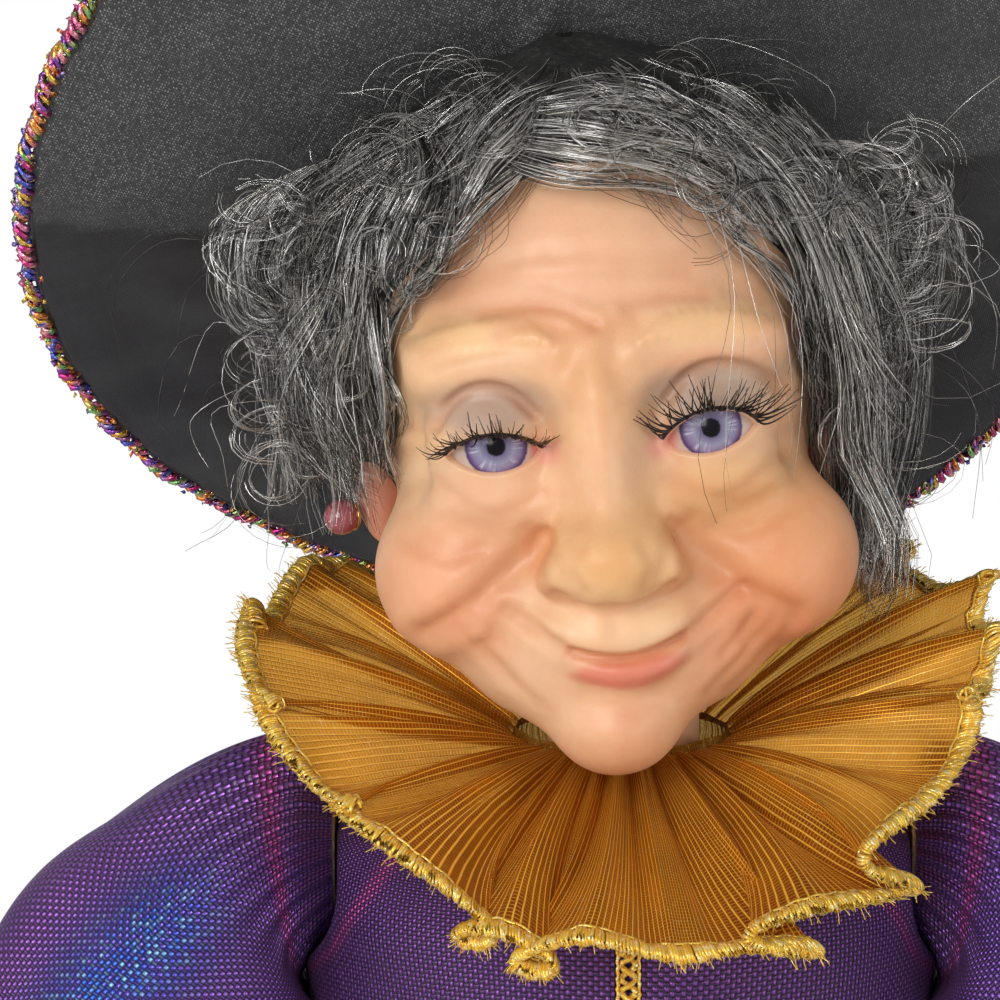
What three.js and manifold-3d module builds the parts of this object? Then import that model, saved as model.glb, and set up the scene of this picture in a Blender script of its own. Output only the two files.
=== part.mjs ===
// A display witch doll: a cast head with set-in eyes, wig and pointed hat, on a padded torso
// that stands on a stiff skirt form and a round base board. The head turns on the spine post,
// the arms swing on shoulder pins and bend at the elbows.
// Millimetres, +Z up, the doll faces -Y. "Left" is the doll's own left, at +X.
import * as THREE from "three";
import { mergeVertices } from "three/addons/utils/BufferGeometryUtils.js";
import Module from "manifold-3d";

const wasm = await Module();
wasm.setup();

// Driving dimensions

const gap = 0.3; // left between pieces that touch
const runningGap = 0.4; // left round pieces that turn

const feltThickness = 1.5;
const baseRadius = 96;
const baseThickness = 9;
const baseRounding = 2.5;

const postRadius = 5;
const postSeatDepth = 5; // how deep the post stands in the base board
const screwRadius = 1.6;
const screwHeadRadius = 4;
const screwHeadHeight = 2.4;
const screwLength = 24;

const waistHeight = 284; // top of the skirt form
const formWaistRadius = 29;
const formHemReach = 2; // how far the form's hem stands out past the base board
const formHemRadius = baseRadius + formHemReach;
const formWall = 1.6;
const hemHeight = 1.2; // the hem hangs just clear of the floor
const skirtWall = 1.2;
const skirtFolds = 12;
const skirtFoldDepth = 4.6; // at the hem
const bellCurve = 0.78; // below 1 the skirt spreads early, at the hips
const waistbandHeight = 10;
const waistbandWall = 1.6;

const shoulderHeight = 381; // axis of the shoulder pins
const torsoTop = shoulderHeight + 11; // the neck edge
const chestHalfWidth = 44;
const chestHalfDepth = 30;
const waistHalfDepth = 24;
const bodiceWall = 1.8;
const frontBraidWidth = 3.2;
const frontBraidThickness = 1.2;

const shoulderDiscRadius = 10.5;
const shoulderDiscThickness = 2;
const shoulderPinRadius = 1.6;
const shoulderPinLength = 26; // inside the torso
const shoulderPinGrip = 8; // inside the arm
const shoulderSeat = 40; // from the middle of the doll to the flat that a shoulder disc lies on
const armholeRadius = 14;
const armholePlane = 48.4; // from the middle of the doll to the sleeve's armhole edge

const upperArmLength = 73;
const upperArmDrop = 48; // degrees below the horizontal
const upperArmRadius = 9.5;
const elbowBallRadius = 7.5;
const elbowBend = 45; // degrees that the elbow bends further than at rest
const elbowClearance = 2; // degrees left open on either side of the bent elbow
const forearmLength = 62;
const forearmRadius = 6.6;
const handLength = 40;
const handHalfWidth = 7.4;
const sleeveHeadRadius = 16;
const sleevePuffRadius = 23;
const sleeveElbowRadius = 14;
const sleeveWristRadius = 9.6;
const sleeveFolds = 7;
const cuffHeight = 8;
const cuffWall = 1.5;

const headRise = 8; // the head's own origin, at the throat, above the neck edge
const headHeight = torsoTop + headRise;
const chinDrop = 3.2; // lowest point of the chin below the throat
const headTilt = -5; // degrees; the head leans to the doll's right
const neckRadius = 11;
const neckPlugRadius = 7.8;
const neckPlugHeight = 30;
const neckWasherRadius = 11;
const neckWasherThickness = 2;

const craniumHalfWidth = 32;
const craniumHalfDepth = 40;
const craniumHalfHeight = 37;
const eyeHeight = 43; // above the throat
const eyeHalfSpacing = 14;
const eyeDepth = -26.8; // centre of the eyeball
const eyeballRadius = 8.4;
const lidThickness = 1.1;
const eyeOpeningHalfWidth = 6.9;
const eyeOpeningUp = 2.6;
const eyeOpeningDown = 3.1;
const lashCount = 7;
const lashLength = 6;
const lashRadius = 0.35;
const noseTip = -45.2; // foremost point of the face
const mouthHeight = 15.5;
const earringRadius = 2.5;
const wigCapThickness = 2.2;

const hatTilt = 51; // degrees; the hat is pushed to the back of the head
const hatSeat = [0, 20, 71.5]; // middle of the brim, from the throat
const brimRadius = 77;
const brimHoleRadius = 28; // before the brim is cut to the wig cap
const brimWall = 1.6;
const brimFoldAngle = 4; // degrees that each half of the brim bends towards the face
const brimFlutter = 2.2;
const brimWireRadius = 0.6;
const brimBraidRadius = 1.5;
const brimBraidBumps = 32;
const crownRadius = 40.5;
const crownWall = 1.5;
const crownReach = [2, 84, 190]; // tip of the hat, from the throat
const hatBandHeight = 11;
const hatBandWall = 1.3;

const ruffInnerRadius = 15.5;
const ruffRadius = 52;
const ruffWall = 0.9;
const ruffFolds = 17;
const ruffFoldDepth = 4.6; // at the edge
const ruffSideSlope = 0.38;
const ruffFrontSlope = -0.46;
const ruffBackSlope = 0.42;
const ruffEdgeRadius = 1.1;
const ruffBandHeight = 5;
const ruffBandWall = 1.2;

// Finishes

const finish = (color, roughness, metalness = 0) =>
  new THREE.MeshStandardMaterial({ color, roughness, metalness });

const skin = finish(0xe8a978, 0.45);
const eyeGlass = finish(0x8f86c9, 0.1);
const lashFibre = finish(0x17131a, 0.6);
const pearl = finish(0xb5546f, 0.25);
const hairFibre = finish(0x6b6a68, 0.4);
const wigNet = finish(0x2b2a2b, 0.9);
const satin = finish(0x17171a, 0.5);
const iridescentBraid = finish(0xa0447f, 0.35, 0.7);
const steel = finish(0x9a9ca0, 0.35, 1);
const organza = finish(0xb5701c, 0.55, 0.2);
const goldThread = finish(0xd39a25, 0.35, 0.8);
const gownCloth = finish(0x3d2480, 0.4, 0.6);
const calico = finish(0xd9cbb0, 0.95);
const card = finish(0xb9a27c, 0.9);
const wood = finish(0xb88a55, 0.7);
const felt = finish(0x1f1f21, 1);

// Geometry helpers

const vec = (x, y, z) => new THREE.Vector3(x, y, z);
const radians = THREE.MathUtils.degToRad;
const mix = THREE.MathUtils.lerp;

// A closed mesh as a solid: shared corners merged and faces without area dropped.
function toSolid(geometry) {
  const bare = geometry.clone();
  for (const name of Object.keys(bare.attributes)) {
    if (name !== "position") bare.deleteAttribute(name);
  }
  const merged = mergeVertices(bare, 1e-4);
  const index = merged.index.array;
  const faces = [];
  for (let i = 0; i < index.length; i += 3) {
    const [a, b, c] = [index[i], index[i + 1], index[i + 2]];
    if (a !== b && b !== c && c !== a) faces.push(a, b, c);
  }
  return new wasm.Manifold(
    new wasm.Mesh({
      numProp: 3,
      vertProperties: merged.attributes.position.array,
      triVerts: new Uint32Array(faces),
    }),
  );
}

function toGeometry(solid) {
  const made = solid.getMesh();
  const points = new Float32Array(made.numVert * 3);
  for (let i = 0; i < made.numVert; i++) {
    points.set(made.vertProperties.subarray(i * made.numProp, i * made.numProp + 3), i * 3);
  }
  const geometry = new THREE.BufferGeometry();
  geometry.setAttribute("position", new THREE.BufferAttribute(points, 3));
  geometry.setIndex(new THREE.BufferAttribute(new Uint32Array(made.triVerts), 1));
  geometry.computeVertexNormals();
  return geometry;
}

// A skin over a stack of rings with equally many points. The two ends are closed by fans, or
// joined to each other when the stack loops round.
function skinRings(rings, loops = false) {
  const count = rings[0].length;
  const points = rings.flat();
  const faces = [];
  const bands = loops ? rings.length : rings.length - 1;
  for (let i = 0; i < bands; i++) {
    const here = i * count;
    const next = ((i + 1) % rings.length) * count;
    for (let j = 0; j < count; j++) {
      const k = (j + 1) % count;
      faces.push(here + j, here + k, next + k, here + j, next + k, next + j);
    }
  }
  if (!loops) {
    for (const [ring, turn] of [[0, -1], [rings.length - 1, 1]]) {
      const middle = rings[ring].reduce((sum, p) => sum.add(p), vec(0, 0, 0));
      points.push(middle.divideScalar(count));
      for (let j = 0; j < count; j++) {
        const pair = [ring * count + j, ring * count + ((j + 1) % count)];
        if (turn < 0) pair.reverse();
        faces.push(points.length - 1, ...pair);
      }
    }
  }
  const geometry = new THREE.BufferGeometry().setFromPoints(points);
  geometry.setIndex(faces);
  return geometry;
}

// A level ring of points; `radius` and `height` are functions of the angle from the doll's front.
function levelRing(count, radius, height, depthShare = 1) {
  return Array.from({ length: count }, (_, i) => {
    const angle = (i / count) * 2 * Math.PI;
    const r = radius(angle);
    return vec(r * Math.sin(angle), -r * depthShare * Math.cos(angle), height(angle));
  });
}

// Rings square to a path. Each stop holds a place, a radius and, where the section is an oval,
// the share of the radius across the reference direction. `swell` changes the radius round the ring.
function pathRings(stops, reference, count, swell = () => 1) {
  return stops.map((stop, i) => {
    const before = stops[Math.max(i - 1, 0)].at;
    const after = stops[Math.min(i + 1, stops.length - 1)].at;
    const along = stop.along ?? after.clone().sub(before).normalize();
    const side = reference.clone().cross(along).normalize();
    const other = along.clone().cross(side);
    return Array.from({ length: count }, (_, j) => {
      const angle = (j / count) * 2 * Math.PI;
      const r = stop.radius * swell(angle, stop.share ?? i / (stops.length - 1));
      return stop.at
        .clone()
        .addScaledVector(side, r * Math.cos(angle))
        .addScaledVector(other, r * (stop.flat ?? 1) * Math.sin(angle));
    });
  });
}

const tube = (stops, reference, count, swell) => toSolid(skinRings(pathRings(stops, reference, count, swell)));

// A turned piece: the profile runs round its outline as [radius, height] pairs.
function turned(profile, segments) {
  const outline = profile.map(([r, z]) => new THREE.Vector2(r, z));
  const geometry = new THREE.LatheGeometry(outline, segments);
  return toSolid(geometry.rotateX(Math.PI / 2));
}

function rod(radius, from, to, segments = 12) {
  const along = to.clone().sub(from);
  const geometry = new THREE.CylinderGeometry(radius, radius, along.length(), segments);
  const turn = new THREE.Quaternion().setFromUnitVectors(vec(0, 1, 0), along.clone().normalize());
  geometry.applyQuaternion(turn);
  const middle = from.clone().lerp(to, 0.5);
  return toSolid(geometry.translate(middle.x, middle.y, middle.z));
}

function ball(radius, at, segments = 16) {
  const geometry = new THREE.SphereGeometry(radius, segments, Math.round(segments * 0.7));
  return toSolid(geometry.translate(at.x, at.y, at.z));
}

const blockSpan = 1600; // longer than the doll, for cuts along a plane

// Everything on the far side of a plane, for cutting a piece off square.
function beyond(point, normal) {
  const geometry = new THREE.BoxGeometry(blockSpan, blockSpan, blockSpan);
  geometry.translate(0, 0, blockSpan / 2);
  geometry.applyQuaternion(new THREE.Quaternion().setFromUnitVectors(vec(0, 0, 1), normal));
  return toSolid(geometry.translate(point.x, point.y, point.z));
}

function addPiece(group, name, solid, material) {
  const mesh = new THREE.Mesh(toGeometry(solid), material);
  mesh.name = name;
  group.add(mesh);
  return mesh;
}

// Head: named forms, blended into one another, in millimetres from the throat

const eyeCentre = (side) => vec(side * eyeHalfSpacing, eyeDepth, eyeHeight);
const both = (make) => [1, -1].flatMap(make);

// `lean` turns a form about the line of sight, in degrees; `bow` and `sweep` bend it up and back
// towards its two ends.
function headForms() {
  const lids = eyeballRadius + lidThickness;
  const eyeLine = eyeHeight;
  const lip = mouthHeight;
  return [
    { form: "cranium", at: [0, 5, 56], size: [craniumHalfWidth, craniumHalfDepth, craniumHalfHeight], blend: 0 },
    { form: "face", at: [0, -6, 35], size: [26.5, 29, 29], blend: 10 },
    { form: "neck", at: [0, 0, 4], size: [neckRadius, neckRadius, 34], blend: 4 },
    { form: "jaw", at: [-0.5, -15, 13.5], size: [21, 17, 12.5], blend: 8 },
    { form: "chin", at: [-1.2, -26.5, 7.8 - chinDrop], size: [8.8, 10, 7.8], blend: 6 },
    { form: "muzzle", at: [-0.5, -27, lip + 2], size: [13.5, 10.5, 8.5], blend: 5 },
    { form: "cheek", at: [22, -18.5, 22.5], size: [11.5, 13.5, 11], blend: 6 },
    { form: "cheek", at: [-20.3, -18.5, 24], size: [11.5, 13.5, 11], blend: 6 },
    ...both((s) => [{ form: "brow", at: [s * 12, -27.5, eyeLine + 10], size: [13, 8, 5], blend: 8 }]),
    ...both((s) => [{ carve: true, at: [s * 14.5, -38, eyeLine + 1.5], size: [9.5, 6.5, 6.5], blend: 5 }]),
    { form: "bridge", at: [-0.3, -32.5, eyeLine - 3], size: [5.4, 8.5, 15], blend: 4.5 },
    { form: "nose", at: [-0.5, noseTip + 7.2, 27.8], size: [7.2, 7.2, 6.2], blend: 4.5 },
    ...both((s) => [{ form: "wing", at: [s * 6.6 - 0.5, noseTip + 9.7, 26.8], size: [3.6, 5.2, 4], blend: 2.5 }]),
    ...both((s) => [{ form: "lid", at: eyeCentre(s).toArray(), size: [lids, lids, lids], blend: 1.2 }]),
    ...both((s) => [{ form: "bag", at: [s * 14, -28.5, eyeLine - 7.5], size: [9, 6.5, 3.4], blend: 3 }]),
    ...both((s) => [{ carve: true, at: [s * 14, -34.5, 22.5], size: [2, 4.5, 7.5], lean: s * -46, blend: 3 }]),
    { form: "upper lip", at: [-0.5, -35.4, lip + 1.8], size: [8.5, 3.2, 1.9], bow: 1.5, blend: 2.5 },
    { form: "lower lip", at: [0.6, -35, lip - 2.6], size: [7.2, 3.4, 2.3], bow: 1.2, blend: 2 },
    { carve: true, at: [0, -39.2, lip - 0.3], size: [14, 4.2, 0.7], bow: 5.2, sweep: 9, blend: 0.9 },
    ...both((s) => [{ form: "ear", at: [s * 31, 4, 37.5], size: [4.4, 6.5, 11.5], blend: 2 }]),
    ...both((s) => [{ carve: true, at: [s * 36.5, 1.5, 39], size: [3, 3.6, 6.5], blend: 1.5 }]),
  ];
}

const forms = headForms();

function ellipsoidDistance(x, y, z, { at, size, lean = 0, bow = 0, sweep = 0 }) {
  let [u, v, w] = [x - at[0], y - at[1], z - at[2]];
  if (lean) {
    const [c, s] = [Math.cos(radians(lean)), Math.sin(radians(lean))];
    [u, w] = [u * c - w * s, u * s + w * c];
  }
  const away = (u / size[0]) ** 2;
  v -= sweep * away;
  w -= bow * away;
  const near = Math.hypot(u / size[0], v / size[1], w / size[2]);
  const steep = Math.hypot(u / size[0] ** 2, v / size[1] ** 2, w / size[2] ** 2);
  return steep > 0 ? (near * (near - 1)) / steep : -Math.min(...size);
}

function smoothMin(a, b, blend) {
  if (blend <= 0) return Math.min(a, b);
  const share = Math.max(blend - Math.abs(a - b), 0) / blend;
  return Math.min(a, b) - share * share * blend * 0.25;
}

// Signed distance from the head's surface, negative inside.
function headDistance(x, y, z) {
  let distance = Infinity;
  for (const form of forms) {
    const own = ellipsoidDistance(x, y, z, form);
    if (distance === Infinity) distance = own;
    else if (form.carve) distance = -smoothMin(-distance, own, form.blend);
    else distance = smoothMin(distance, own, form.blend);
  }
  return distance;
}

const headMiddle = vec(0, -2, 38);
const faceCrowding = 0.42;
const headFarthest = 85; // no part of the head lies further from its middle

// The head's surface, or one at `offset` outside it, found along rays from the head's middle.
// With `crowding` the rays lie closer together on the face than at the back.
function headSolid(columns, rows, offset = 0, crowding = 0) {
  const radiusAlong = (direction) => {
    const at = (r) => {
      const p = direction.clone().multiplyScalar(r).add(headMiddle);
      return headDistance(p.x, p.y, p.z) - offset;
    };
    let outer = headFarthest;
    while (at(outer - 1) > 0) outer -= 1;
    let inner = outer - 1;
    for (let i = 0; i < 18; i++) {
      const half = (inner + outer) / 2;
      if (at(half) > 0) outer = half;
      else inner = half;
    }
    return outer;
  };
  const rings = [];
  for (let i = 1; i < rows; i++) {
    const up = mix(-Math.PI / 2, Math.PI / 2, i / rows);
    rings.push(
      Array.from({ length: columns }, (_, j) => {
        const share = (j / columns) * 2 - 1;
        const round = Math.PI * mix(share, share ** 3, crowding);
        const direction = vec(
          Math.sin(round) * Math.cos(up),
          -Math.cos(round) * Math.cos(up),
          Math.sin(up),
        );
        return direction.clone().multiplyScalar(radiusAlong(direction)).add(headMiddle);
      }),
    );
  }
  return toSolid(skinRings(rings));
}

// The almond between the lids, reaching forwards out of the eye socket.
function eyeOpening(side) {
  const outline = new THREE.Shape();
  outline.moveTo(-eyeOpeningHalfWidth, -0.6);
  outline.quadraticCurveTo(0, eyeOpeningUp * 2 + 0.4, eyeOpeningHalfWidth, 0.4);
  outline.quadraticCurveTo(0, -eyeOpeningDown * 2 - 0.2, -eyeOpeningHalfWidth, -0.6);
  const geometry = new THREE.ExtrudeGeometry(outline, {
    depth: eyeballRadius * 2,
    bevelEnabled: false,
    curveSegments: 5,
  });
  geometry.rotateX(Math.PI / 2);
  const centre = eyeCentre(side);
  return toSolid(geometry.translate(centre.x, centre.y, centre.z));
}

// A lash strip lies along the upper lid's rim and its lashes fan out and up.
function lashStrip(side) {
  const centre = eyeCentre(side);
  const out = eyeballRadius + lidThickness + gap * 1.7 + lashRadius;
  const rim = Array.from({ length: lashCount }, (_, i) => {
    const across = mix(-0.8, 0.95, i / (lashCount - 1)) * side;
    const x = across * eyeOpeningHalfWidth;
    const z = eyeOpeningUp * (1 - 0.75 * across * across) + lashRadius;
    return vec(x, -Math.sqrt(out * out - x * x - z * z), z).add(centre);
  });
  const across = vec(0, -1, 0);
  const strip = tube(rim.map((at) => ({ at, radius: lashRadius })), across, 4);
  return rim.reduce((whole, root, i) => {
    const share = i / (lashCount - 1) - 0.45;
    const away = vec(side * share * 0.9, -0.75, 0.65).normalize();
    const tip = root.clone().addScaledVector(away, lashLength * (0.75 + 0.4 * Math.abs(share)));
    const lash = [
      { at: root, radius: lashRadius },
      { at: tip, radius: lashRadius * 0.3 },
    ];
    return whole.add(tube(lash, vec(1, 0, 0), 3));
  }, strip);
}

// Wig: tapering wavy locks joined into curls, then cut to the head and hat

function lock(points, radius, tip, wave) {
  const curve = new THREE.CatmullRomCurve3(points);
  const count = 5;
  const stops = Array.from({ length: count }, (_, i) => {
    const t = i / (count - 1);
    const fat = Math.sin(Math.PI * mix(0.28, 0.93, t));
    const at = curve.getPoint(t);
    at.x += wave * Math.sin(t * 9 + points[0].x);
    return { at, radius: mix(radius, tip, t) * (0.55 + 0.45 * fat) };
  });
  return tube(stops, vec(0.3, 1, 0.2).normalize(), 6);
}

const joined = (solids) => solids.reduce((whole, each) => whole.add(each));

function fringeLocks() {
  const count = 5;
  return joined(
    Array.from({ length: count }, (_, i) => {
      const share = (i / (count - 1)) * 2 - 1;
      const x = share * 24;
      const drop = 10 * share * share;
      const path = [vec(x * 0.9, -8, 94 - drop), vec(x + 2, -24, 91 - drop), vec(x + 5, -33, 79 - drop * 0.9)];
      return lock(path, 9.4, 5.6, 0.8);
    }),
  );
}

function sideLocks(side, extra = 0) {
  const depths = [-15, -4, 6];
  const ends = side > 0 ? [24, 19, 22] : [31, 27, 28];
  return joined(
    depths.map((y, i) => {
      const long = ends[i];
      const path = [
        vec(side * 27, y + 3, 84),
        vec(side * 37, y, 68),
        vec(side * 41, y + 2, 46),
        vec(side * 38.5, y + 4, long),
      ];
      return lock(path, 9.4 + extra, 5 + extra, 0.9);
    }),
  );
}

function backLocks() {
  const count = 6;
  return joined(
    Array.from({ length: count }, (_, i) => {
      const round = radians(mix(-74, 74, i / (count - 1)));
      const spot = (r, z) => vec(r * Math.sin(round), 5 + r * Math.cos(round), z);
      const top = 34 + 16 * (1 - Math.cos(round));
      return lock([spot(32, top), spot(35, top - 9), spot(31, top - 17)], 10.5, 8, 0.5);
    }),
  );
}

// Hat

const hatPlacing = new THREE.Matrix4().compose(
  vec(...hatSeat),
  new THREE.Quaternion().setFromAxisAngle(vec(1, 0, 0), -radians(hatTilt)),
  vec(1, 1, 1),
);

// Height of the brim's middle surface above its plane, in the hat's own frame.
function brimHeight(radius, angle) {
  const fold = -Math.tan(radians(brimFoldAngle)) * Math.abs(radius * Math.cos(angle));
  return fold + brimFlutter * (radius / brimRadius) ** 2 * Math.sin(3 * angle + 0.6);
}

const brimSegments = 30;

function brimSolid() {
  const steps = [0, 0.55, 1].map((t) => mix(brimHoleRadius, brimRadius, t));
  const side = (up) =>
    steps.map((r) => levelRing(brimSegments, () => r, (a) => brimHeight(r, a) + (up * brimWall) / 2));
  return toSolid(skinRings([...side(-1), ...side(1).reverse()], true).applyMatrix4(hatPlacing));
}

// A tube that runs round outside the brim's edge; `swell` gives its bumps.
function brimRing(radius, distance, count, sides, swell) {
  const rings = Array.from({ length: count }, (_, i) => {
    const angle = (i / count) * 2 * Math.PI;
    const out = vec(Math.sin(angle), -Math.cos(angle), 0);
    const middle = out.clone().multiplyScalar(brimRadius + distance);
    middle.z = brimHeight(brimRadius, angle);
    const r = radius * swell(i);
    return Array.from({ length: sides }, (_, j) => {
      const turn = (j / sides) * 2 * Math.PI;
      return middle.clone().addScaledVector(out, r * Math.sin(turn)).add(vec(0, 0, r * Math.cos(turn)));
    });
  });
  return toSolid(skinRings(rings, true).applyMatrix4(hatPlacing));
}

// The hat's point rises from the brim and crumples upwards.
function crownPath() {
  const start = vec(0, 2.5, 3.2).applyMatrix4(hatPlacing);
  const axis = vec(0, 0, 1).transformDirection(hatPlacing);
  const tip = vec(...crownReach);
  const rise = tip.z - start.z;
  return new THREE.CubicBezierCurve3(
    start,
    start.clone().addScaledVector(axis, rise * 0.42),
    tip.clone().add(vec(-9, -2, -rise * 0.42)),
    tip,
  );
}

const crownSteps = 11;
const crownSides = 16;

// Rings of the crown at `offset` outside its middle surface, from share `from` to `to` of its length.
function crownRings(offset, from, to, steps) {
  const path = crownPath();
  const stops = Array.from({ length: steps }, (_, i) => {
    const t = mix(from, to, i / (steps - 1));
    const crumple = 1 + 0.07 * Math.sin(Math.PI * t) * Math.cos(t * 21);
    const radius = Math.max(crownRadius * (1 - t) ** 0.92 * crumple + offset, 0.6);
    return { at: path.getPoint(t), along: path.getTangent(t), radius, share: t };
  });
  const pleat = (angle, t) => 1 + 0.035 * Math.sin(Math.PI * t) * Math.cos(5 * angle + 4 * t);
  return pathRings(stops, vec(1, 0, 0), crownSides, pleat);
}

function crownSolid() {
  const hollow = 0.7; // share of the crown's length that is hollow
  const outside = crownRings(crownWall / 2, 0, 0.985, crownSteps);
  const inside = crownRings(-crownWall / 2, 0, hollow, crownSteps - 4);
  const full = toSolid(skinRings(outside));
  return full.subtract(toSolid(skinRings(inside)));
}

function hatBandSolid() {
  const share = hatBandHeight / crownPath().getLength();
  const clear = crownWall / 2 + gap * 2.5;
  const outside = crownRings(clear + hatBandWall, 0.004, share, 3);
  const inside = crownRings(clear, 0.004, share, 3);
  return toSolid(skinRings([...outside, ...inside.reverse()], true));
}

// Ruff and its gold edge

const ruffMiddle = torsoTop + 4.6;

function ruffHeight(radius, angle) {
  const away = radius - ruffInnerRadius;
  const share = away / (ruffRadius - ruffInnerRadius);
  const level = (ruffBackSlope + ruffFrontSlope) / 2;
  const lean = (ruffBackSlope - ruffFrontSlope) / 2;
  const front = Math.cos(angle);
  const slope = level - lean * front + (ruffSideSlope - level) * (1 - front * front);
  return ruffMiddle + away * slope + ruffFoldDepth * share ** 0.8 * Math.cos(ruffFolds * angle);
}

const ruffSegments = ruffFolds * 6;

function ruffSolid() {
  const steps = [0, 0.5, 1].map((t) => mix(ruffInnerRadius, ruffRadius, t));
  const side = (up) =>
    steps.map((r) => levelRing(ruffSegments, () => r, (a) => ruffHeight(r, a) + (up * ruffWall) / 2));
  return toSolid(skinRings([...side(-1), ...side(1).reverse()], true));
}

function ruffEdgeSolid() {
  const sides = 3;
  const middleRadius = ruffRadius + gap + ruffEdgeRadius;
  const rings = Array.from({ length: ruffSegments }, (_, i) => {
    const angle = (i / ruffSegments) * 2 * Math.PI;
    const out = vec(Math.sin(angle), -Math.cos(angle), 0);
    const middle = out.clone().multiplyScalar(middleRadius);
    middle.z = ruffHeight(ruffRadius, angle);
    return Array.from({ length: sides }, (_, j) => {
      const turn = (j / sides) * 2 * Math.PI;
      const r = ruffEdgeRadius;
      return middle.clone().addScaledVector(out, r * Math.sin(turn)).add(vec(0, 0, r * Math.cos(turn)));
    });
  });
  return toSolid(skinRings(rings, true));
}

// Gown, torso and stand

const torsoSections = [
  { z: waistHeight + gap, width: formWaistRadius, depth: waistHalfDepth },
  { z: mix(waistHeight, shoulderHeight, 0.2), width: formWaistRadius + 1, depth: waistHalfDepth },
  { z: mix(waistHeight, shoulderHeight, 0.5), width: mix(formWaistRadius, chestHalfWidth, 0.6), depth: chestHalfDepth - 2 },
  { z: mix(waistHeight, shoulderHeight, 0.78), width: chestHalfWidth - 1, depth: chestHalfDepth },
  { z: shoulderHeight - 4, width: chestHalfWidth, depth: chestHalfDepth - 3 },
  { z: mix(shoulderHeight, torsoTop, 0.45), width: chestHalfWidth - 5, depth: chestHalfDepth - 8 },
  { z: torsoTop, width: ruffInnerRadius - 2.2, depth: ruffInnerRadius - 2.2 },
];

const torsoRing = (section, offset, lift = 0, count = 16) =>
  levelRing(
    count,
    () => section.width + offset,
    () => section.z + lift,
    (section.depth + offset) / (section.width + offset),
  );

const bellRadius = (z, waist, hem) => {
  const down = THREE.MathUtils.clamp((waistHeight - z) / (waistHeight - hemHeight), 0, 1);
  return mix(waist, hem, down ** bellCurve);
};

function skirtFormSolid() {
  const foot = feltThickness + gap + baseThickness + gap;
  const steps = 5;
  const levels = Array.from({ length: steps }, (_, i) => mix(foot, waistHeight, i / (steps - 1)));
  const wall = (offset) => levels.map((z) => [bellRadius(z, formWaistRadius, formHemRadius) + offset, z]);
  const outside = wall(0);
  const inside = wall(-formWall).reverse();
  inside[0][1] -= formWall;
  const hole = postRadius + gap;
  return turned(
    [...outside, [hole, waistHeight], [hole, waistHeight - formWall], ...inside, outside[0]],
    20,
  );
}

function skirtSolid() {
  const count = skirtFolds * 5;
  const steps = 5;
  const top = waistHeight + waistbandHeight * 0.5;
  const clear = gap + skirtWall / 2;
  const wall = (offset) =>
    Array.from({ length: steps }, (_, i) => {
      const share = i / (steps - 1);
      const z = mix(hemHeight, top, share);
      const fold = skirtFoldDepth * (1 - share) ** 0.8;
      const round = bellRadius(z, formWaistRadius + clear, formHemRadius + clear + 0.6) + offset;
      return levelRing(count, (a) => round + fold * (1 + Math.cos(skirtFolds * a)), () => z);
    });
  return toSolid(skinRings([...wall(skirtWall / 2), ...wall(-skirtWall / 2).reverse()], true));
}

function waistbandSolid() {
  const low = waistHeight + waistbandHeight * 0.5 + gap;
  const inner = formWaistRadius + 1 + gap;
  const ring = (offset, z) => levelRing(24, () => inner + offset, () => z);
  const top = low + waistbandHeight;
  const bow = 0.7;
  return toSolid(
    skinRings(
      [
        ring(waistbandWall, low),
        ring(waistbandWall + bow, (low + top) / 2),
        ring(waistbandWall, top),
        ring(0, top),
        ring(0, low),
      ],
      true,
    ),
  );
}

function shoulderAxisPoint(side, x) {
  return vec(side * x, 0, shoulderHeight);
}

function torsoSolid() {
  const whole = toSolid(skinRings(torsoSections.map((section) => torsoRing(section, 0))));
  const bore = rod(postRadius + gap, vec(0, 0, waistHeight - 5), vec(0, 0, torsoTop + 5));
  const recesses = both((s) => [
    rod(armholeRadius, shoulderAxisPoint(s, shoulderSeat), shoulderAxisPoint(s, armholePlane + 20), 16),
    rod(
      shoulderPinRadius + gap,
      shoulderAxisPoint(s, shoulderSeat - shoulderPinLength),
      shoulderAxisPoint(s, shoulderSeat + 1),
      12,
    ),
  ]);
  return [bore, ...recesses].reduce((left, cut) => left.subtract(cut), whole);
}

function bodiceSolid() {
  const sections = torsoSections.slice(1);
  const low = { ...sections[0], z: waistHeight + waistbandHeight * 1.5 + gap * 2 };
  const stack = [low, ...sections.slice(1)];
  const outside = stack.map((section) => torsoRing(section, gap * 2 + bodiceWall, gap));
  const inside = stack.map((section) => torsoRing(section, gap * 2, gap));
  const shell = toSolid(skinRings([...outside, ...inside.reverse()], true));
  return both((s) => [
    rod(armholeRadius, shoulderAxisPoint(s, shoulderSeat - 15), shoulderAxisPoint(s, armholePlane + 20), 16),
  ]).reduce((left, cut) => left.subtract(cut), shell);
}

// A flat braid that follows the bodice's front from under the ruff to the waistband.
function frontBraidSolid() {
  const sections = torsoSections.slice(1, -2);
  const low = { ...sections[0], z: waistHeight + waistbandHeight * 1.5 + gap * 2 };
  const stops = [low, ...sections.slice(1)];
  const rings = stops.map((section) => {
    const front = -(section.depth + gap * 3 + bodiceWall);
    const z = section.z + gap;
    const half = frontBraidWidth / 2;
    return [
      vec(-half, front, z),
      vec(-half, front - frontBraidThickness, z),
      vec(half, front - frontBraidThickness, z),
      vec(half, front, z),
    ];
  });
  return toSolid(skinRings(rings));
}

function ruffBandSolid() {
  const low = torsoTop + gap * 2; // stands on the bodice's neck edge
  const top = low + ruffBandHeight;
  const outer = ruffInnerRadius - gap;
  const inner = outer - ruffBandWall;
  return turned(
    [
      [inner, low],
      [outer, low],
      [outer, top],
      [inner, top],
      [inner, low],
    ],
    24,
  );
}

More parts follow.
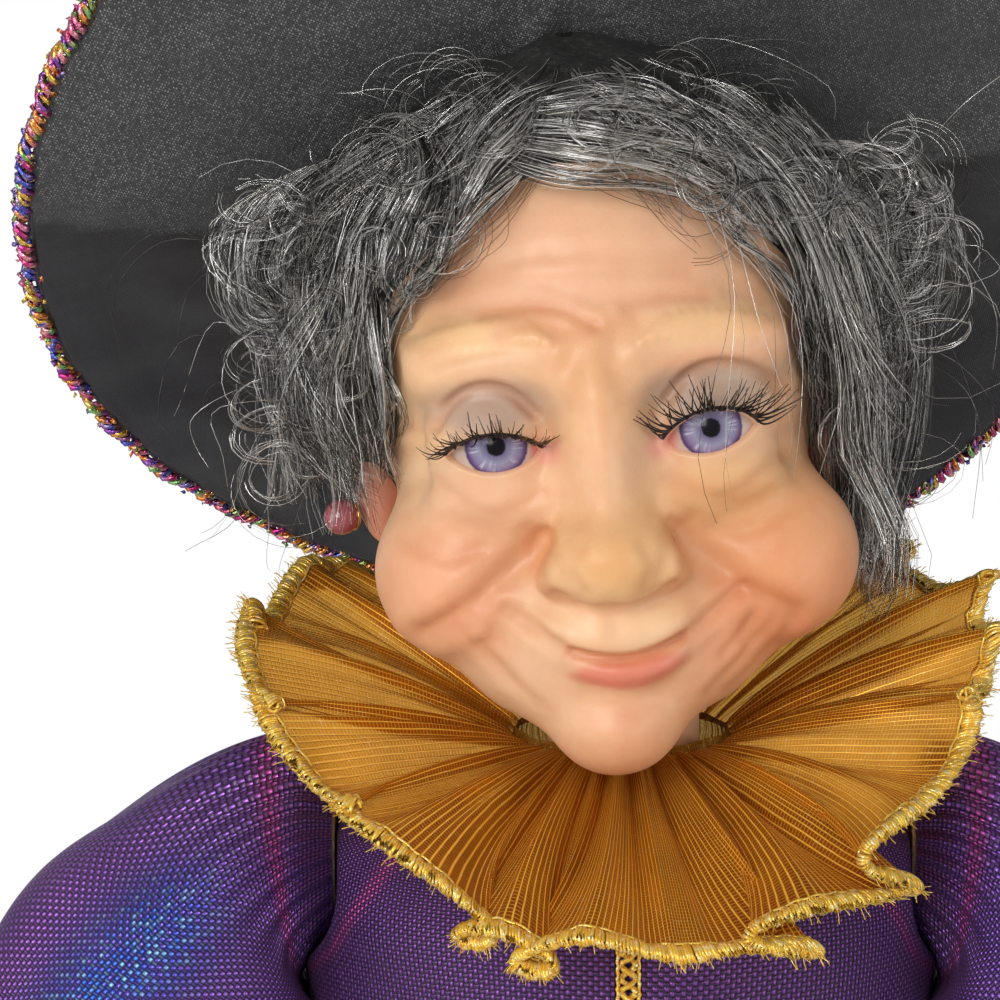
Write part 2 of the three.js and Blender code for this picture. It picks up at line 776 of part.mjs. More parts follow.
function baseBoardSolid() {
  const low = feltThickness + gap;
  const top = low + baseThickness;
  const seat = top - postSeatDepth;
  const r = baseRounding;
  const board = turned(
    [
      [0, low],
      [baseRadius, low],
      [baseRadius, top - r],
      [baseRadius - r * 0.3, top - r * 0.3],
      [baseRadius - r, top],
      [0, top],
    ],
    32,
  );
  const counterbore = rod(screwHeadRadius + gap, vec(0, 0, low - 1), vec(0, 0, low + screwHeadHeight + gap));
  return board
    .subtract(rod(postRadius + gap, vec(0, 0, seat), vec(0, 0, top + 5)))
    .subtract(rod(screwRadius + gap, vec(0, 0, low - 1), vec(0, 0, top)))
    .subtract(counterbore);
}

const postFoot = feltThickness + gap + baseThickness - postSeatDepth + gap;
const plugFoot = torsoTop + gap + neckWasherThickness + gap;
const postTop = plugFoot + neckPlugHeight * 0.7;

function spinePostSolid() {
  const post = rod(postRadius, vec(0, 0, postFoot), vec(0, 0, postTop), 12);
  return post.subtract(rod(screwRadius + gap, vec(0, 0, postFoot - 1), vec(0, 0, postFoot + screwLength)));
}

function postScrewSolid() {
  const low = feltThickness + gap + gap;
  const shank = rod(screwRadius, vec(0, 0, low), vec(0, 0, low + screwLength), 10);
  return shank.add(rod(screwHeadRadius, vec(0, 0, low), vec(0, 0, low + screwHeadHeight), 12));
}

function neckPlugSolid() {
  const plug = rod(neckPlugRadius, vec(0, 0, plugFoot), vec(0, 0, plugFoot + neckPlugHeight), 14);
  return plug.subtract(rod(postRadius + runningGap, vec(0, 0, plugFoot - 1), vec(0, 0, postTop + gap), 12));
}

function neckWasherSolid() {
  const low = torsoTop + gap;
  const washer = rod(neckWasherRadius, vec(0, 0, low), vec(0, 0, low + neckWasherThickness), 16);
  return washer.subtract(rod(postRadius + gap, vec(0, 0, low - 1), vec(0, 0, low + neckWasherThickness + 1)));
}

// Arm, modelled on the doll's left and mirrored for its right

const armRoot = vec(shoulderSeat + gap * 3 + shoulderDiscThickness * 2, 0, shoulderHeight);
const pinEnd = armRoot.x + shoulderPinGrip;
const upperArmForward = -6; // how far the elbow lies in front of the shoulder
const elbow = armRoot
  .clone()
  .add(vec(Math.cos(radians(upperArmDrop)), 0, -Math.sin(radians(upperArmDrop))).multiplyScalar(upperArmLength))
  .add(vec(0, upperArmForward, 0));
const forearmDirection = vec(0.4, -0.52, -0.755).normalize();
const wrist = elbow.clone().addScaledVector(forearmDirection, forearmLength);
const upperArmCurve = new THREE.QuadraticBezierCurve3(
  armRoot,
  armRoot.clone().add(vec(10, -1, -6)),
  elbow,
);
const elbowAxis = upperArmCurve.getTangent(1).cross(forearmDirection).normalize();

function upperArmSolid() {
  const stops = [0, 0.2, 0.45, 0.7, 1].map((t) => ({
    at: upperArmCurve.getPoint(t),
    along: t === 0 ? vec(1, 0, 0) : upperArmCurve.getTangent(t),
    radius: upperArmRadius * (t === 0 || t === 1 ? 0.92 : 1),
  }));
  return tube(stops, vec(0, 1, 0), 10)
    .subtract(ball(elbowBallRadius + runningGap, elbow, 16))
    .subtract(upperArmMitre())
    .subtract(beyond(armRoot, vec(-1, 0, 0)))
    .subtract(
      rod(shoulderPinRadius + runningGap, shoulderAxisPoint(1, armRoot.x - 1), shoulderAxisPoint(1, pinEnd + gap), 10),
    );
}

const sleeveElbowJoint = sleeveElbowRadius; // the elbow's ball-shaped fold

function upperSleeveSolid() {
  const profile = [
    [0, sleeveHeadRadius],
    [0.12, sleeveHeadRadius + 1],
    [0.34, sleevePuffRadius],
    [0.5, sleevePuffRadius * 0.97],
    [0.72, mix(sleeveElbowRadius, sleevePuffRadius, 0.55)],
    [0.98, sleeveElbowRadius + 0.8],
  ];
  const stops = profile.map(([t, radius]) => ({
    at: upperArmCurve.getPoint(t),
    along: t === 0 ? vec(1, 0, 0) : upperArmCurve.getTangent(t),
    radius,
  }));
  const folds = (angle, t) => 1 + 0.035 * Math.sin(Math.PI * t) * Math.cos(sleeveFolds * angle);
  const arm = [0, 0.2, 0.45, 0.7, 1.05].map((t) => ({
    at: t > 1 ? elbow.clone().addScaledVector(upperArmCurve.getTangent(1), 4) : upperArmCurve.getPoint(t),
    along: t === 0 ? vec(1, 0, 0) : upperArmCurve.getTangent(Math.min(t, 1)),
    radius: upperArmRadius + gap,
  }));
  return tube(stops, vec(0, 1, 0), sleeveFolds * 3, folds)
    .subtract(tube(arm, vec(0, 1, 0), 10))
    .subtract(ball(sleeveElbowJoint + runningGap, elbow, 16))
    .subtract(upperArmMitre())
    .subtract(beyond(vec(armholePlane, 0, 0), vec(-1, 0, 0)));
}

const forearmPoint = (distance) => elbow.clone().addScaledVector(forearmDirection, distance);

function forearmStops(extra) {
  return [
    { at: forearmPoint(0), radius: elbowBallRadius * 0.8 + extra },
    { at: forearmPoint(forearmLength * 0.35), radius: forearmRadius + 0.8 + extra },
    { at: forearmPoint(forearmLength - cuffHeight), radius: forearmRadius * 0.8 + extra },
  ];
}

function forearmSolid() {
  return tube(forearmStops(0), vec(0, 0, 1), 8).subtract(forearmMitre()).add(ball(elbowBallRadius, elbow, 10));
}

function lowerSleeveSolid() {
  const end = forearmLength - cuffHeight * 0.5;
  const stops = [
    { at: forearmPoint(0), radius: sleeveElbowJoint * 0.96 },
    { at: forearmPoint(forearmLength * 0.3), radius: mix(sleeveElbowRadius, sleeveWristRadius, 0.35) },
    { at: forearmPoint(forearmLength * 0.65), radius: mix(sleeveElbowRadius, sleeveWristRadius, 0.8) },
    { at: forearmPoint(end), radius: sleeveWristRadius },
  ];
  const creases = (angle, t) => 1 + 0.03 * Math.sin(Math.PI * t) * Math.cos(5 * angle + 7 * t);
  const bore = [
    ...forearmStops(gap),
    { at: forearmPoint(forearmLength + 5), radius: forearmRadius * 0.8 + gap },
  ];
  const hollow = ball(upperArmRadius + runningGap * 2 + 1, elbow, 10);
  return tube(stops, vec(0, 0, 1), 10, creases)
    .add(ball(sleeveElbowJoint, elbow, 10))
    .subtract(tube(bore, vec(0, 0, 1), 8))
    .subtract(hollow)
    .subtract(forearmMitre());
}

// Everything past the mitre at which the bent arm's two halves would meet inside the elbow, seen
// from the half that lies along `arm` and ends at the elbow. `inside` points into the bend.
function elbowMitre(arm, inside) {
  const rest = THREE.MathUtils.radToDeg(upperArmCurve.getTangent(1).angleTo(forearmDirection));
  const half = radians((rest + elbowBend) / 2 + elbowClearance);
  const normal = arm.clone().multiplyScalar(Math.cos(half)).addScaledVector(inside, Math.sin(half));
  return beyond(elbow, normal.normalize());
}

const upperArmMitre = () => {
  const along = upperArmCurve.getTangent(1);
  return elbowMitre(along, elbowAxis.clone().cross(along).normalize());
};
const forearmMitre = () => {
  const inside = elbowAxis.clone().cross(forearmDirection).normalize();
  return elbowMitre(forearmDirection.clone().negate(), inside);
};

function cuffSolid() {
  const low = forearmLength - cuffHeight * 0.5 + gap;
  const stops = [
    { at: forearmPoint(low), radius: sleeveWristRadius + 0.6 },
    { at: forearmPoint(low + cuffHeight * 0.6), radius: sleeveWristRadius + 1.2 },
    { at: forearmPoint(low + cuffHeight), radius: sleeveWristRadius + 1.6 },
  ];
  const inner = stops.map((stop) => ({ ...stop, radius: stop.radius - cuffWall }));
  const outside = pathRings(stops, vec(0, 0, 1), 14);
  const inside = pathRings(inner, vec(0, 0, 1), 14);
  return toSolid(skinRings([...outside, ...inside.reverse()], true));
}

function fingerSolid(root, direction, curl, length, radius) {
  const joints = 4;
  const stops = [];
  const at = root.clone();
  const heading = direction.clone().normalize();
  for (let i = 0; i < joints; i++) {
    stops.push({ at: at.clone(), along: heading.clone(), radius: radius * (1 - 0.13 * i) });
    at.addScaledVector(heading, length / (joints - 1));
    heading.applyAxisAngle(curl, radians(17));
  }
  return tube(stops, curl, 5);
}

// An open, relaxed hand: palm, four fingers and a thumb, with a stub that sits in the cuff.
function handSolid() {
  const out = forearmDirection;
  const palmNormal = vec(-0.75, 0.1, -0.45).projectOnPlane(out).normalize();
  const across = out.clone().cross(palmNormal).normalize();
  const palmLength = handLength * 0.48;
  const stub = forearmLength - cuffHeight + gap;
  const place = (distance, sideways) => forearmPoint(forearmLength + distance).addScaledVector(across, sideways);
  const palm = [
    { at: forearmPoint(stub), radius: forearmRadius * 0.78, flat: 0.9 },
    { at: place(1, 0), radius: forearmRadius * 0.8, flat: 0.85 },
    { at: place(palmLength * 0.55, 0), radius: handHalfWidth, flat: 0.5 },
    { at: place(palmLength, 0), radius: handHalfWidth * 0.98, flat: 0.38 },
  ];
  const fingerRadius = handHalfWidth * 0.27;
  const fingerLengths = [0.46, 0.54, 0.52, 0.42].map((share) => share * handLength);
  const fingers = fingerLengths.map((length, i) => {
    const spread = mix(-1, 1, i / 3);
    const direction = out.clone().addScaledVector(across, spread * 0.14);
    return fingerSolid(place(palmLength - 2, spread * handHalfWidth * 0.72), direction, across, length, fingerRadius);
  });
  const thumbHeading = out.clone().addScaledVector(across, -0.75).addScaledVector(palmNormal, 0.35);
  const thumb = fingerSolid(
    place(palmLength * 0.25, -handHalfWidth * 0.55),
    thumbHeading,
    across,
    handLength * 0.42,
    fingerRadius * 1.12,
  );
  return joined([tube(palm, palmNormal, 10), ...fingers, thumb]);
}

function addArm(group, name) {
  const discHole = (from, to) => rod(shoulderPinRadius + runningGap, shoulderAxisPoint(1, from), shoulderAxisPoint(1, to), 12);
  const discAt = shoulderSeat + gap * 2 + shoulderDiscThickness;
  const disc = rod(
    shoulderDiscRadius,
    shoulderAxisPoint(1, discAt),
    shoulderAxisPoint(1, discAt + shoulderDiscThickness),
    14,
  ).subtract(discHole(discAt - 1, discAt + shoulderDiscThickness + 1));
  addPiece(group, `${name}_arm_disc`, disc, card);
  addPiece(group, `${name}_upper_arm`, upperArmSolid(), calico);
  addPiece(group, `${name}_sleeve`, upperSleeveSolid(), gownCloth);
  addPiece(group, `${name}_forearm`, forearmSolid(), skin);
  addPiece(group, `${name}_lower_sleeve`, lowerSleeveSolid(), gownCloth);
  addPiece(group, `${name}_cuff`, cuffSolid(), gownCloth);
  addPiece(group, `${name}_hand`, handSolid(), skin);
}

function addShoulder(group, name, side) {
  const low = shoulderSeat + gap;
  const disc = rod(
    shoulderDiscRadius,
    shoulderAxisPoint(side, low),
    shoulderAxisPoint(side, low + shoulderDiscThickness),
    14,
  ).subtract(
    rod(
      shoulderPinRadius + gap,
      shoulderAxisPoint(side, low - 1),
      shoulderAxisPoint(side, low + shoulderDiscThickness + 1),
      12,
    ),
  );
  addPiece(group, `${name}_shoulder_disc`, disc, card);
  const pin = rod(
    shoulderPinRadius,
    shoulderAxisPoint(side, shoulderSeat + gap - shoulderPinLength),
    shoulderAxisPoint(side, pinEnd),
    12,
  );
  addPiece(group, `${name}_shoulder_pin`, pin, steel);
}

// The head with everything on it, in a group that stands at the throat and leans to one side

function addHead(group) {
  const upright = new THREE.Matrix4().makeRotationY(-radians(headTilt));
  const plugBore = new THREE.CylinderGeometry(neckPlugRadius + gap, neckPlugRadius + gap, 60, 14);
  plugBore.rotateX(Math.PI / 2).translate(0, 0, plugFoot + neckPlugHeight + gap - headHeight - 30);
  const neckFoot = plugFoot - headHeight;
  const levelCut = beyond(vec(0, 0, neckFoot), vec(0, 0, -1));
  const turnedUpright = (solid) => toSolid(toGeometry(solid).applyMatrix4(upright));
  let head = headSolid(34, 26, 0, faceCrowding).subtract(turnedUpright(levelCut)).subtract(toSolid(plugBore.applyMatrix4(upright)));
  for (const side of [1, -1]) {
    head = head.subtract(ball(eyeballRadius + gap, eyeCentre(side), 12)).subtract(eyeOpening(side));
  }

  const hairline = beyond(vec(0, -24, 80), vec(0, -0.62, -0.78).normalize());
  const capOutside = headSolid(22, 16, gap * 4.5 + wigCapThickness);
  const cap = capOutside.subtract(headSolid(22, 16, gap * 4.5)).subtract(hairline);
  const capClear = headSolid(22, 16, gap * 5.5 + wigCapThickness);
  const headClear = headSolid(22, 16, gap * 4);

  const brim = brimSolid().subtract(capClear);
  const crown = crownSolid().subtract(beyondBrim()).subtract(capClear);
  const earrings = [1, -1].map((side) => earringSolid(side));
  const hatClear = joined([thickBrim(), toSolid(skinRings(crownRings(crownWall / 2 + gap * 2, 0, 0.6, 8)))]);

  const dress = (locks) =>
    [headClear, capClear, hatClear, ...earrings.map((e) => e.clear)].reduce((left, cut) => left.subtract(cut), locks);
  const largest = (solid) => solid.decompose().sort((a, b) => b.volume() - a.volume())[0];

  const rightSide = largest(dress(sideLocks(-1)));
  const leftSide = largest(dress(sideLocks(1)));
  const sides = sideLocks(-1, gap * 2).add(sideLocks(1, gap * 2));
  const fringe = largest(dress(fringeLocks()).subtract(sides));
  const back = largest(dress(backLocks()).subtract(sides));

  addPiece(group, "head", head, skin);
  for (const [side, name] of [[1, "left"], [-1, "right"]]) {
    addPiece(group, `${name}_eye`, ball(eyeballRadius, eyeCentre(side), 11), eyeGlass);
    addPiece(group, `${name}_lashes`, lashStrip(side), lashFibre);
  }
  addPiece(group, "left_earring", earrings[0].solid, pearl);
  addPiece(group, "right_earring", earrings[1].solid, pearl);
  addPiece(group, "wig_cap", cap, wigNet);
  addPiece(group, "hair_fringe", fringe, hairFibre);
  addPiece(group, "hair_right", rightSide, hairFibre);
  addPiece(group, "hair_left", leftSide, hairFibre);
  addPiece(group, "hair_back", back, hairFibre);
  addPiece(group, "hat_brim", brim, satin);
  addPiece(group, "hat_crown", crown, satin);
  addPiece(group, "hat_band", hatBandSolid().subtract(beyondBrim()), satin);
  const wireAt = gap + brimWireRadius;
  addPiece(group, "brim_wire", brimRing(brimWireRadius, wireAt, brimSegments, 3, () => 1), steel);
  const bumps = (i) => (i % 2 ? 0.72 : 1);
  const braidAt = wireAt + brimWireRadius + gap + brimBraidRadius;
  addPiece(
    group,
    "brim_braid",
    brimRing(brimBraidRadius, braidAt, brimBraidBumps * 2, 3, bumps),
    iridescentBraid,
  );
}

// The brim's own space and what lies on its face side, so that the crown stands on the brim's back.
function beyondBrim() {
  const steps = [1, brimRadius + 10];
  const top = steps.map((r) => levelRing(brimSegments, () => r, (a) => brimHeight(r, a) + brimWall / 2 + gap));
  const low = steps.map((r) => levelRing(brimSegments, () => r, () => -60));
  const rings = [low[0], low[1], top[1], top[0]];
  return toSolid(skinRings(rings).applyMatrix4(hatPlacing));
}

function thickBrim() {
  const steps = [1, brimHoleRadius, brimRadius + 8];
  const side = (up) =>
    steps.map((r) => levelRing(brimSegments, () => r, (a) => brimHeight(r, a) + up * (brimWall / 2 + gap * 2)));
  return toSolid(skinRings([...side(-1), ...side(1).reverse()]).applyMatrix4(hatPlacing));
}

// A pearl on a short post that stands on the ear lobe.
function earringSolid(side) {
  const lobe = vec(side * 33, 1, 31);
  const outwards = vec(side, -0.45, 0).normalize();
  let reach = 0;
  while (headDistance(lobe.x + outwards.x * reach, lobe.y + outwards.y * reach, lobe.z) < gap * 2) reach += 0.1;
  const foot = lobe.clone().addScaledVector(outwards, reach);
  const middle = foot.clone().addScaledVector(outwards, earringRadius * 1.15);
  const solid = rod(0.6, foot, middle, 6).add(ball(earringRadius, middle, 10));
  return { solid, clear: ball(earringRadius + gap * 3, middle, 10).add(rod(0.6 + gap * 2, foot, middle, 6)) };
}

// Assembly

const doll = new THREE.Group();

const felted = rod(baseRadius - 1, vec(0, 0, 0), vec(0, 0, feltThickness), 32);
addPiece(doll, "base_felt", felted, felt);
addPiece(doll, "base_board", baseBoardSolid(), wood);
addPiece(doll, "post_screw", postScrewSolid(), steel);
addPiece(doll, "spine_post", spinePostSolid(), wood);
addPiece(doll, "skirt_form", skirtFormSolid(), card);
addPiece(doll, "skirt", skirtSolid(), gownCloth);
addPiece(doll, "waistband", waistbandSolid(), gownCloth);
addPiece(doll, "torso", torsoSolid(), calico);
addPiece(doll, "bodice", bodiceSolid(), gownCloth);
addPiece(doll, "front_braid", frontBraidSolid(), goldThread);
addPiece(doll, "neck_washer", neckWasherSolid(), card);
addPiece(doll, "ruff_band", ruffBandSolid(), organza);
addPiece(doll, "ruff", ruffSolid(), organza);
addPiece(doll, "ruff_edge", ruffEdgeSolid(), goldThread);
addPiece(doll, "neck_plug", neckPlugSolid(), wood);
addShoulder(doll, "left", 1);
addShoulder(doll, "right", -1);

const leftArm = new THREE.Group();
addArm(leftArm, "left");
const rightArm = new THREE.Group();
rightArm.scale.x = -1;
addArm(rightArm, "right");

const head = new THREE.Group();
head.position.z = headHeight;
head.rotation.y = radians(headTilt);
addHead(head);

doll.add(leftArm, rightArm, head);

export default doll;
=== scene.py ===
import math

import bpy
import numpy as np
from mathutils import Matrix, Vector


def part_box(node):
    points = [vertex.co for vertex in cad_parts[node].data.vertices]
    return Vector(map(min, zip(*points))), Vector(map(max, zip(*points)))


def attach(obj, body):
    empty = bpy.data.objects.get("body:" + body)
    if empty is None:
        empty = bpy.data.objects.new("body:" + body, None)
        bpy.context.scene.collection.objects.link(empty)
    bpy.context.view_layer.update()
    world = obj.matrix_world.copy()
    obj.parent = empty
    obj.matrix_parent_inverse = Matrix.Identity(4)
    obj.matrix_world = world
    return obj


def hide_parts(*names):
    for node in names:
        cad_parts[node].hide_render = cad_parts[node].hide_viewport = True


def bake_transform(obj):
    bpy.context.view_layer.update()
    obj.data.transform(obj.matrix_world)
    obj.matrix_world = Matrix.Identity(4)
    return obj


# A witch doll dressed over its CAD frame: sculpted and painted head, fibre wig, satin hat,
# organza ruff and metallic gown. Shapes are worked out in millimetres and placed in metres.

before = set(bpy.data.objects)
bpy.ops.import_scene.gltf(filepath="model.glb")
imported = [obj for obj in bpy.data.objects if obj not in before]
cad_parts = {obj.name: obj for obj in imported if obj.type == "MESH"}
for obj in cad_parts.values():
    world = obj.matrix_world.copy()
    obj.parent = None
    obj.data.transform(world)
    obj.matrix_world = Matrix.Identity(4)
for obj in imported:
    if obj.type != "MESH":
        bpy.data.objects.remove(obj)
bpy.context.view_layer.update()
scene = bpy.context.scene
MM = 0.001
BACK = np.array([0.0, 1, 0])


# Numbers

def rotated(points, axis, degrees):
    """Points turned about the X, Y or Z axis through the origin."""
    c, s = math.cos(math.radians(degrees)), math.sin(math.radians(degrees))
    turn = {
        "x": [[1, 0, 0], [0, c, -s], [0, s, c]],
        "y": [[c, 0, s], [0, 1, 0], [-s, 0, c]],
        "z": [[c, -s, 0], [s, c, 0], [0, 0, 1]],
    }[axis]
    return np.asarray(points, float) @ np.array(turn).T


def smooth_step(low, high, value):
    share = np.clip((value - low) / (high - low), 0, 1)
    return share * share * (3 - 2 * share)


def bell(value, middle, width):
    """1 at the middle, falling off smoothly to both sides."""
    return np.exp(-(((value - middle) / width) ** 2))


def mix(a, b, share):
    return a + (b - a) * share


def unit(vectors):
    vectors = np.asarray(vectors, float)
    return vectors / np.maximum(np.linalg.norm(vectors, axis=-1, keepdims=True), 1e-9)


def ripple(seed, waves, *places):
    """A soft random field of a few plane waves, about -1 to 1, over one or more coordinates."""
    random = np.random.default_rng(seed)
    total = 0
    for _ in range(waves):
        phase = random.uniform(0, 2 * math.pi)
        total = total + np.sin(sum(p * random.uniform(-1, 1) for p in places) * 2 * math.pi + phase)
    return total / math.sqrt(waves / 2) / 1.6


def bezier(points, share):
    """Points along a quadratic or cubic curve at each share from 0 to 1."""
    points = [np.asarray(p, float) for p in points]
    share = np.asarray(share, float)[..., None]
    while len(points) > 1:
        points = [mix(a, b, share) for a, b in zip(points, points[1:])]
    return points[0]


def through(stops, share, column=slice(1, None)):
    """Smoothly interpolated rows of a small table whose first column runs from 0 to 1."""
    stops = np.asarray(stops, float)
    share = np.clip(np.asarray(share, float), stops[0, 0], stops[-1, 0])
    at = np.clip(np.searchsorted(stops[:, 0], share, side="right") - 1, 0, len(stops) - 2)
    span = stops[at + 1, 0] - stops[at, 0]
    t = (share - stops[at, 0]) / span
    rows = stops[:, column]
    slopes = np.gradient(rows, stops[:, 0], axis=0)
    if rows.ndim > 1:
        t, span = t[..., None], span[..., None]
    a, b = rows[at], rows[at + 1]
    da, db = slopes[at] * span, slopes[at + 1] * span
    from_a = (2 * t**3 - 3 * t**2 + 1) * a + (t**3 - 2 * t**2 + t) * da
    return from_a + (3 * t**2 - 2 * t**3) * b + (t**3 - t**2) * db


def evenly(rows):
    """A table for `through` whose rows lie at equal distances."""
    return np.column_stack([np.linspace(0, 1, len(rows)), rows])


def round_turn(count):
    """Equal angles once round."""
    return np.arange(count) / count * 2 * math.pi


def direction(turn, up):
    """Unit vectors by the angle round from the face and the angle up."""
    return np.stack([np.sin(turn) * np.cos(up), -np.cos(turn) * np.cos(up), np.sin(up)], -1)


def length_along(path):
    """Distance of each point of a path from its start."""
    return np.concatenate([[0], np.cumsum(np.linalg.norm(np.diff(path, axis=0), axis=1))])


def side_name(side):
    return "left" if side > 0 else "right"


# Meshes

def grid_faces(rows, columns):
    """Quads over a grid of points, row by row and closed round, and each corner's (column, row)."""
    i, j = np.meshgrid(np.arange(rows - 1), np.arange(columns), indexing="ij")
    k = (j + 1) % columns
    quads = np.stack([i * columns + j, i * columns + k, (i + 1) * columns + k, (i + 1) * columns + j], -1)
    places = [np.stack(p, -1) for p in [(j, i), (j + 1, i), (j + 1, i + 1), (j, i + 1)]]
    return quads.reshape(-1, 4), np.stack(places, -2).reshape(-1, 2)


def triangles_of(quads):
    return np.concatenate([quads[:, [0, 1, 2]], quads[:, [0, 2, 3]]])


def flipped(places, step):
    """Each quad's four places in the order that its corners take when stepped through."""
    return places.reshape(-1, 4, 2)[:, ::step].reshape(-1, 2)


def rim_length(points):
    """Length of a grid's last row, closed round."""
    return float(np.linalg.norm(np.diff(points[-1], axis=0, append=points[-1:, 0]), axis=1).sum())


def mesh_area(points, quads):
    """Area of a grid in square metres."""
    corners = np.asarray(points).reshape(-1, 3)[quads]
    crossed = np.cross(corners[:, 2] - corners[:, 0], corners[:, 3] - corners[:, 1])
    return float(np.linalg.norm(crossed, axis=1).sum() / 2) * MM * MM


def tube_points(path, radius, up, along=None):
    """Rings round a path: a radius for each row and column; the columns start across from `up`."""
    along = unit(np.gradient(path, axis=0)) if along is None else along
    across = unit(np.cross(up, along))
    other = np.cross(along, across)
    turn = round_turn(radius.shape[1])
    ring = across[:, None] * np.cos(turn)[:, None] + other[:, None] * np.sin(turn)[:, None]
    return path[:, None] + ring * radius[..., None]


def new_piece(name, points, faces, material, smooth=True):
    """A mesh piece from points in millimetres and an array of faces with equally many corners."""
    mesh = bpy.data.meshes.new(name)
    points = np.asarray(points, np.float32).reshape(-1, 3)
    faces = np.asarray(faces, np.int32)
    mesh.vertices.add(len(points))
    mesh.vertices.foreach_set("co", (points * MM).ravel())
    mesh.loops.add(faces.size)
    mesh.loops.foreach_set("vertex_index", faces.ravel())
    mesh.polygons.add(len(faces))
    mesh.polygons.foreach_set("loop_start", np.arange(0, faces.size, faces.shape[1], dtype=np.int32))
    mesh.update(calc_edges=True)
    if smooth:
        mesh.shade_smooth()
    mesh.materials.append(material)
    piece = bpy.data.objects.new(name, mesh)
    scene.collection.objects.link(piece)
    return piece


def join_meshes(parts):
    """One list of points and faces from several (points, faces) pairs."""
    starts = np.cumsum([0] + [len(points) for points, _ in parts[:-1]])
    points = np.concatenate([points for points, _ in parts])
    return points, np.concatenate([faces + start for (_, faces), start in zip(parts, starts)])


def set_value(piece, name, values):
    """A number or a colour for every point of a piece, which its material reads by name."""
    values = np.asarray(values, np.float32)
    mesh = piece.data
    if values.ndim == 1:
        mesh.attributes.new(name, "FLOAT", "POINT").data.foreach_set("value", values)
        return
    colours = np.ones((len(values), 4), np.float32)
    colours[:, :3] = values
    mesh.color_attributes.new(name, "FLOAT_COLOR", "POINT").data.foreach_set("color", colours.ravel())


def set_uv(piece, places):
    layer = piece.data.uv_layers.new(name="cloth")
    layer.uv.foreach_set("vector", np.asarray(places, np.float32).ravel())


def stands_for(piece, body, slot, *nodes):
    """The piece rides on a body and hides the CAD nodes that it replaces; `slot` is not used."""
    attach(piece, body)
    if nodes:
        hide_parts(*nodes)
    return piece


def strands(paths, radii, sides=3):
    """Thin tubes along many equally divided paths: points and quads, and each point's strand and share."""
    paths = np.asarray(paths, float)
    count, steps, _ = paths.shape
    along = unit(np.gradient(paths, axis=1))
    helper = np.where(np.abs(along[..., 2:3]) > 0.9, [[1.0, 0, 0]], [[0, 0, 1.0]])
    side = unit(np.cross(along, helper))
    other = np.cross(along, side)
    turn = round_turn(sides)
    ring = side[:, :, None] * np.cos(turn)[:, None] + other[:, :, None] * np.sin(turn)[:, None]
    points = paths[:, :, None] + ring * np.asarray(radii)[..., None, None]
    quads, _ = grid_faces(steps, sides)
    faces = quads[None] + (np.arange(count) * steps * sides)[:, None, None]
    strand = np.repeat(np.arange(count), steps * sides)
    share = np.tile(np.repeat(np.linspace(0, 1, steps), sides), count)
    return points.reshape(-1, 3), faces.reshape(-1, 4), strand, share


# Materials

def new_material(name):
    made = bpy.data.materials.new(name)
    made.use_nodes = True
    return made, made.node_tree, made.node_tree.nodes["Principled BSDF"]


def fill(tree, target, sockets):
    """Sets a node's inputs by name or number, each to a constant or to another node's output."""
    for key, value in sockets.items():
        if isinstance(value, bpy.types.NodeSocket):
            tree.links.new(value, target.inputs[key])
        else:
            target.inputs[key].default_value = value


def node(tree, kind, sockets=None, **settings):
    made = tree.nodes.new("ShaderNode" + kind)
    for key, value in settings.items():
        setattr(made, key, value)
    fill(tree, made, sockets or {})
    return made


def calc(tree, operation, *values):
    return node(tree, "Math", dict(enumerate(values)), operation=operation).outputs[0]


def mixed(tree, share, a, b, blend="MIX"):
    made = node(tree, "Mix", {"Factor": share}, data_type="RGBA", blend_type=blend)
    for key, value in ((6, a), (7, b)):
        if isinstance(value, bpy.types.NodeSocket):
            tree.links.new(value, made.inputs[key])
        else:
            made.inputs[key].default_value = (*value, 1)
    return made.outputs[2]


def ranged(tree, value, low, high, to_low=0.0, to_high=1.0):
    sockets = {"Value": value, "From Min": low, "From Max": high, "To Min": to_low, "To Max": to_high}
    return node(tree, "MapRange", sockets).outputs["Result"]


def ramp(tree, value, stops):
    made = node(tree, "ValToRGB", {"Fac": value})
    elements = made.color_ramp.elements
    while len(elements) < len(stops):
        elements.new(1)
    for element, (position, colour) in zip(elements, stops):
        element.position = position
        element.color = (*colour, 1)
    return made.outputs["Color"]


def place(tree):
    return node(tree, "TexCoord").outputs["Object"]


def drawn(tree, name, output="Fac"):
    """A value or colour that the piece carries at its points."""
    return node(tree, "Attribute", attribute_name=name).outputs[output]


def noise(tree, scale, detail=3, rough=0.55, vector=None, distort=0.0):
    sockets = {"Scale": scale, "Detail": detail, "Roughness": rough, "Distortion": distort}
    sockets["Vector"] = place(tree) if vector is None else vector
    return node(tree, "TexNoise", sockets).outputs["Fac"]


def bump(tree, height, depth, normal=None):
    """A bump whose height of 1 stands `depth` metres proud."""
    sockets = {"Height": height, "Distance": depth, "Strength": 1.0}
    if normal is not None:
        sockets["Normal"] = normal
    return node(tree, "Bump", sockets).outputs["Normal"]


def new_group(name, inputs, outputs):
    """A shader node group: its tree, its input sockets and its output node."""
    tree = bpy.data.node_groups.new(name, "ShaderNodeTree")
    for key, kind in inputs.items():
        tree.interface.new_socket(key, in_out="INPUT", socket_type=kind)
    for key, kind in outputs.items():
        tree.interface.new_socket(key, in_out="OUTPUT", socket_type=kind)
    return tree, tree.nodes.new("NodeGroupInput").outputs, tree.nodes.new("NodeGroupOutput")


def grouped(tree, group, sockets):
    made = node(tree, "Group")
    made.node_tree = group
    fill(tree, made, sockets)
    return made.outputs


# Head: forms blended into one another, in millimetres from the throat

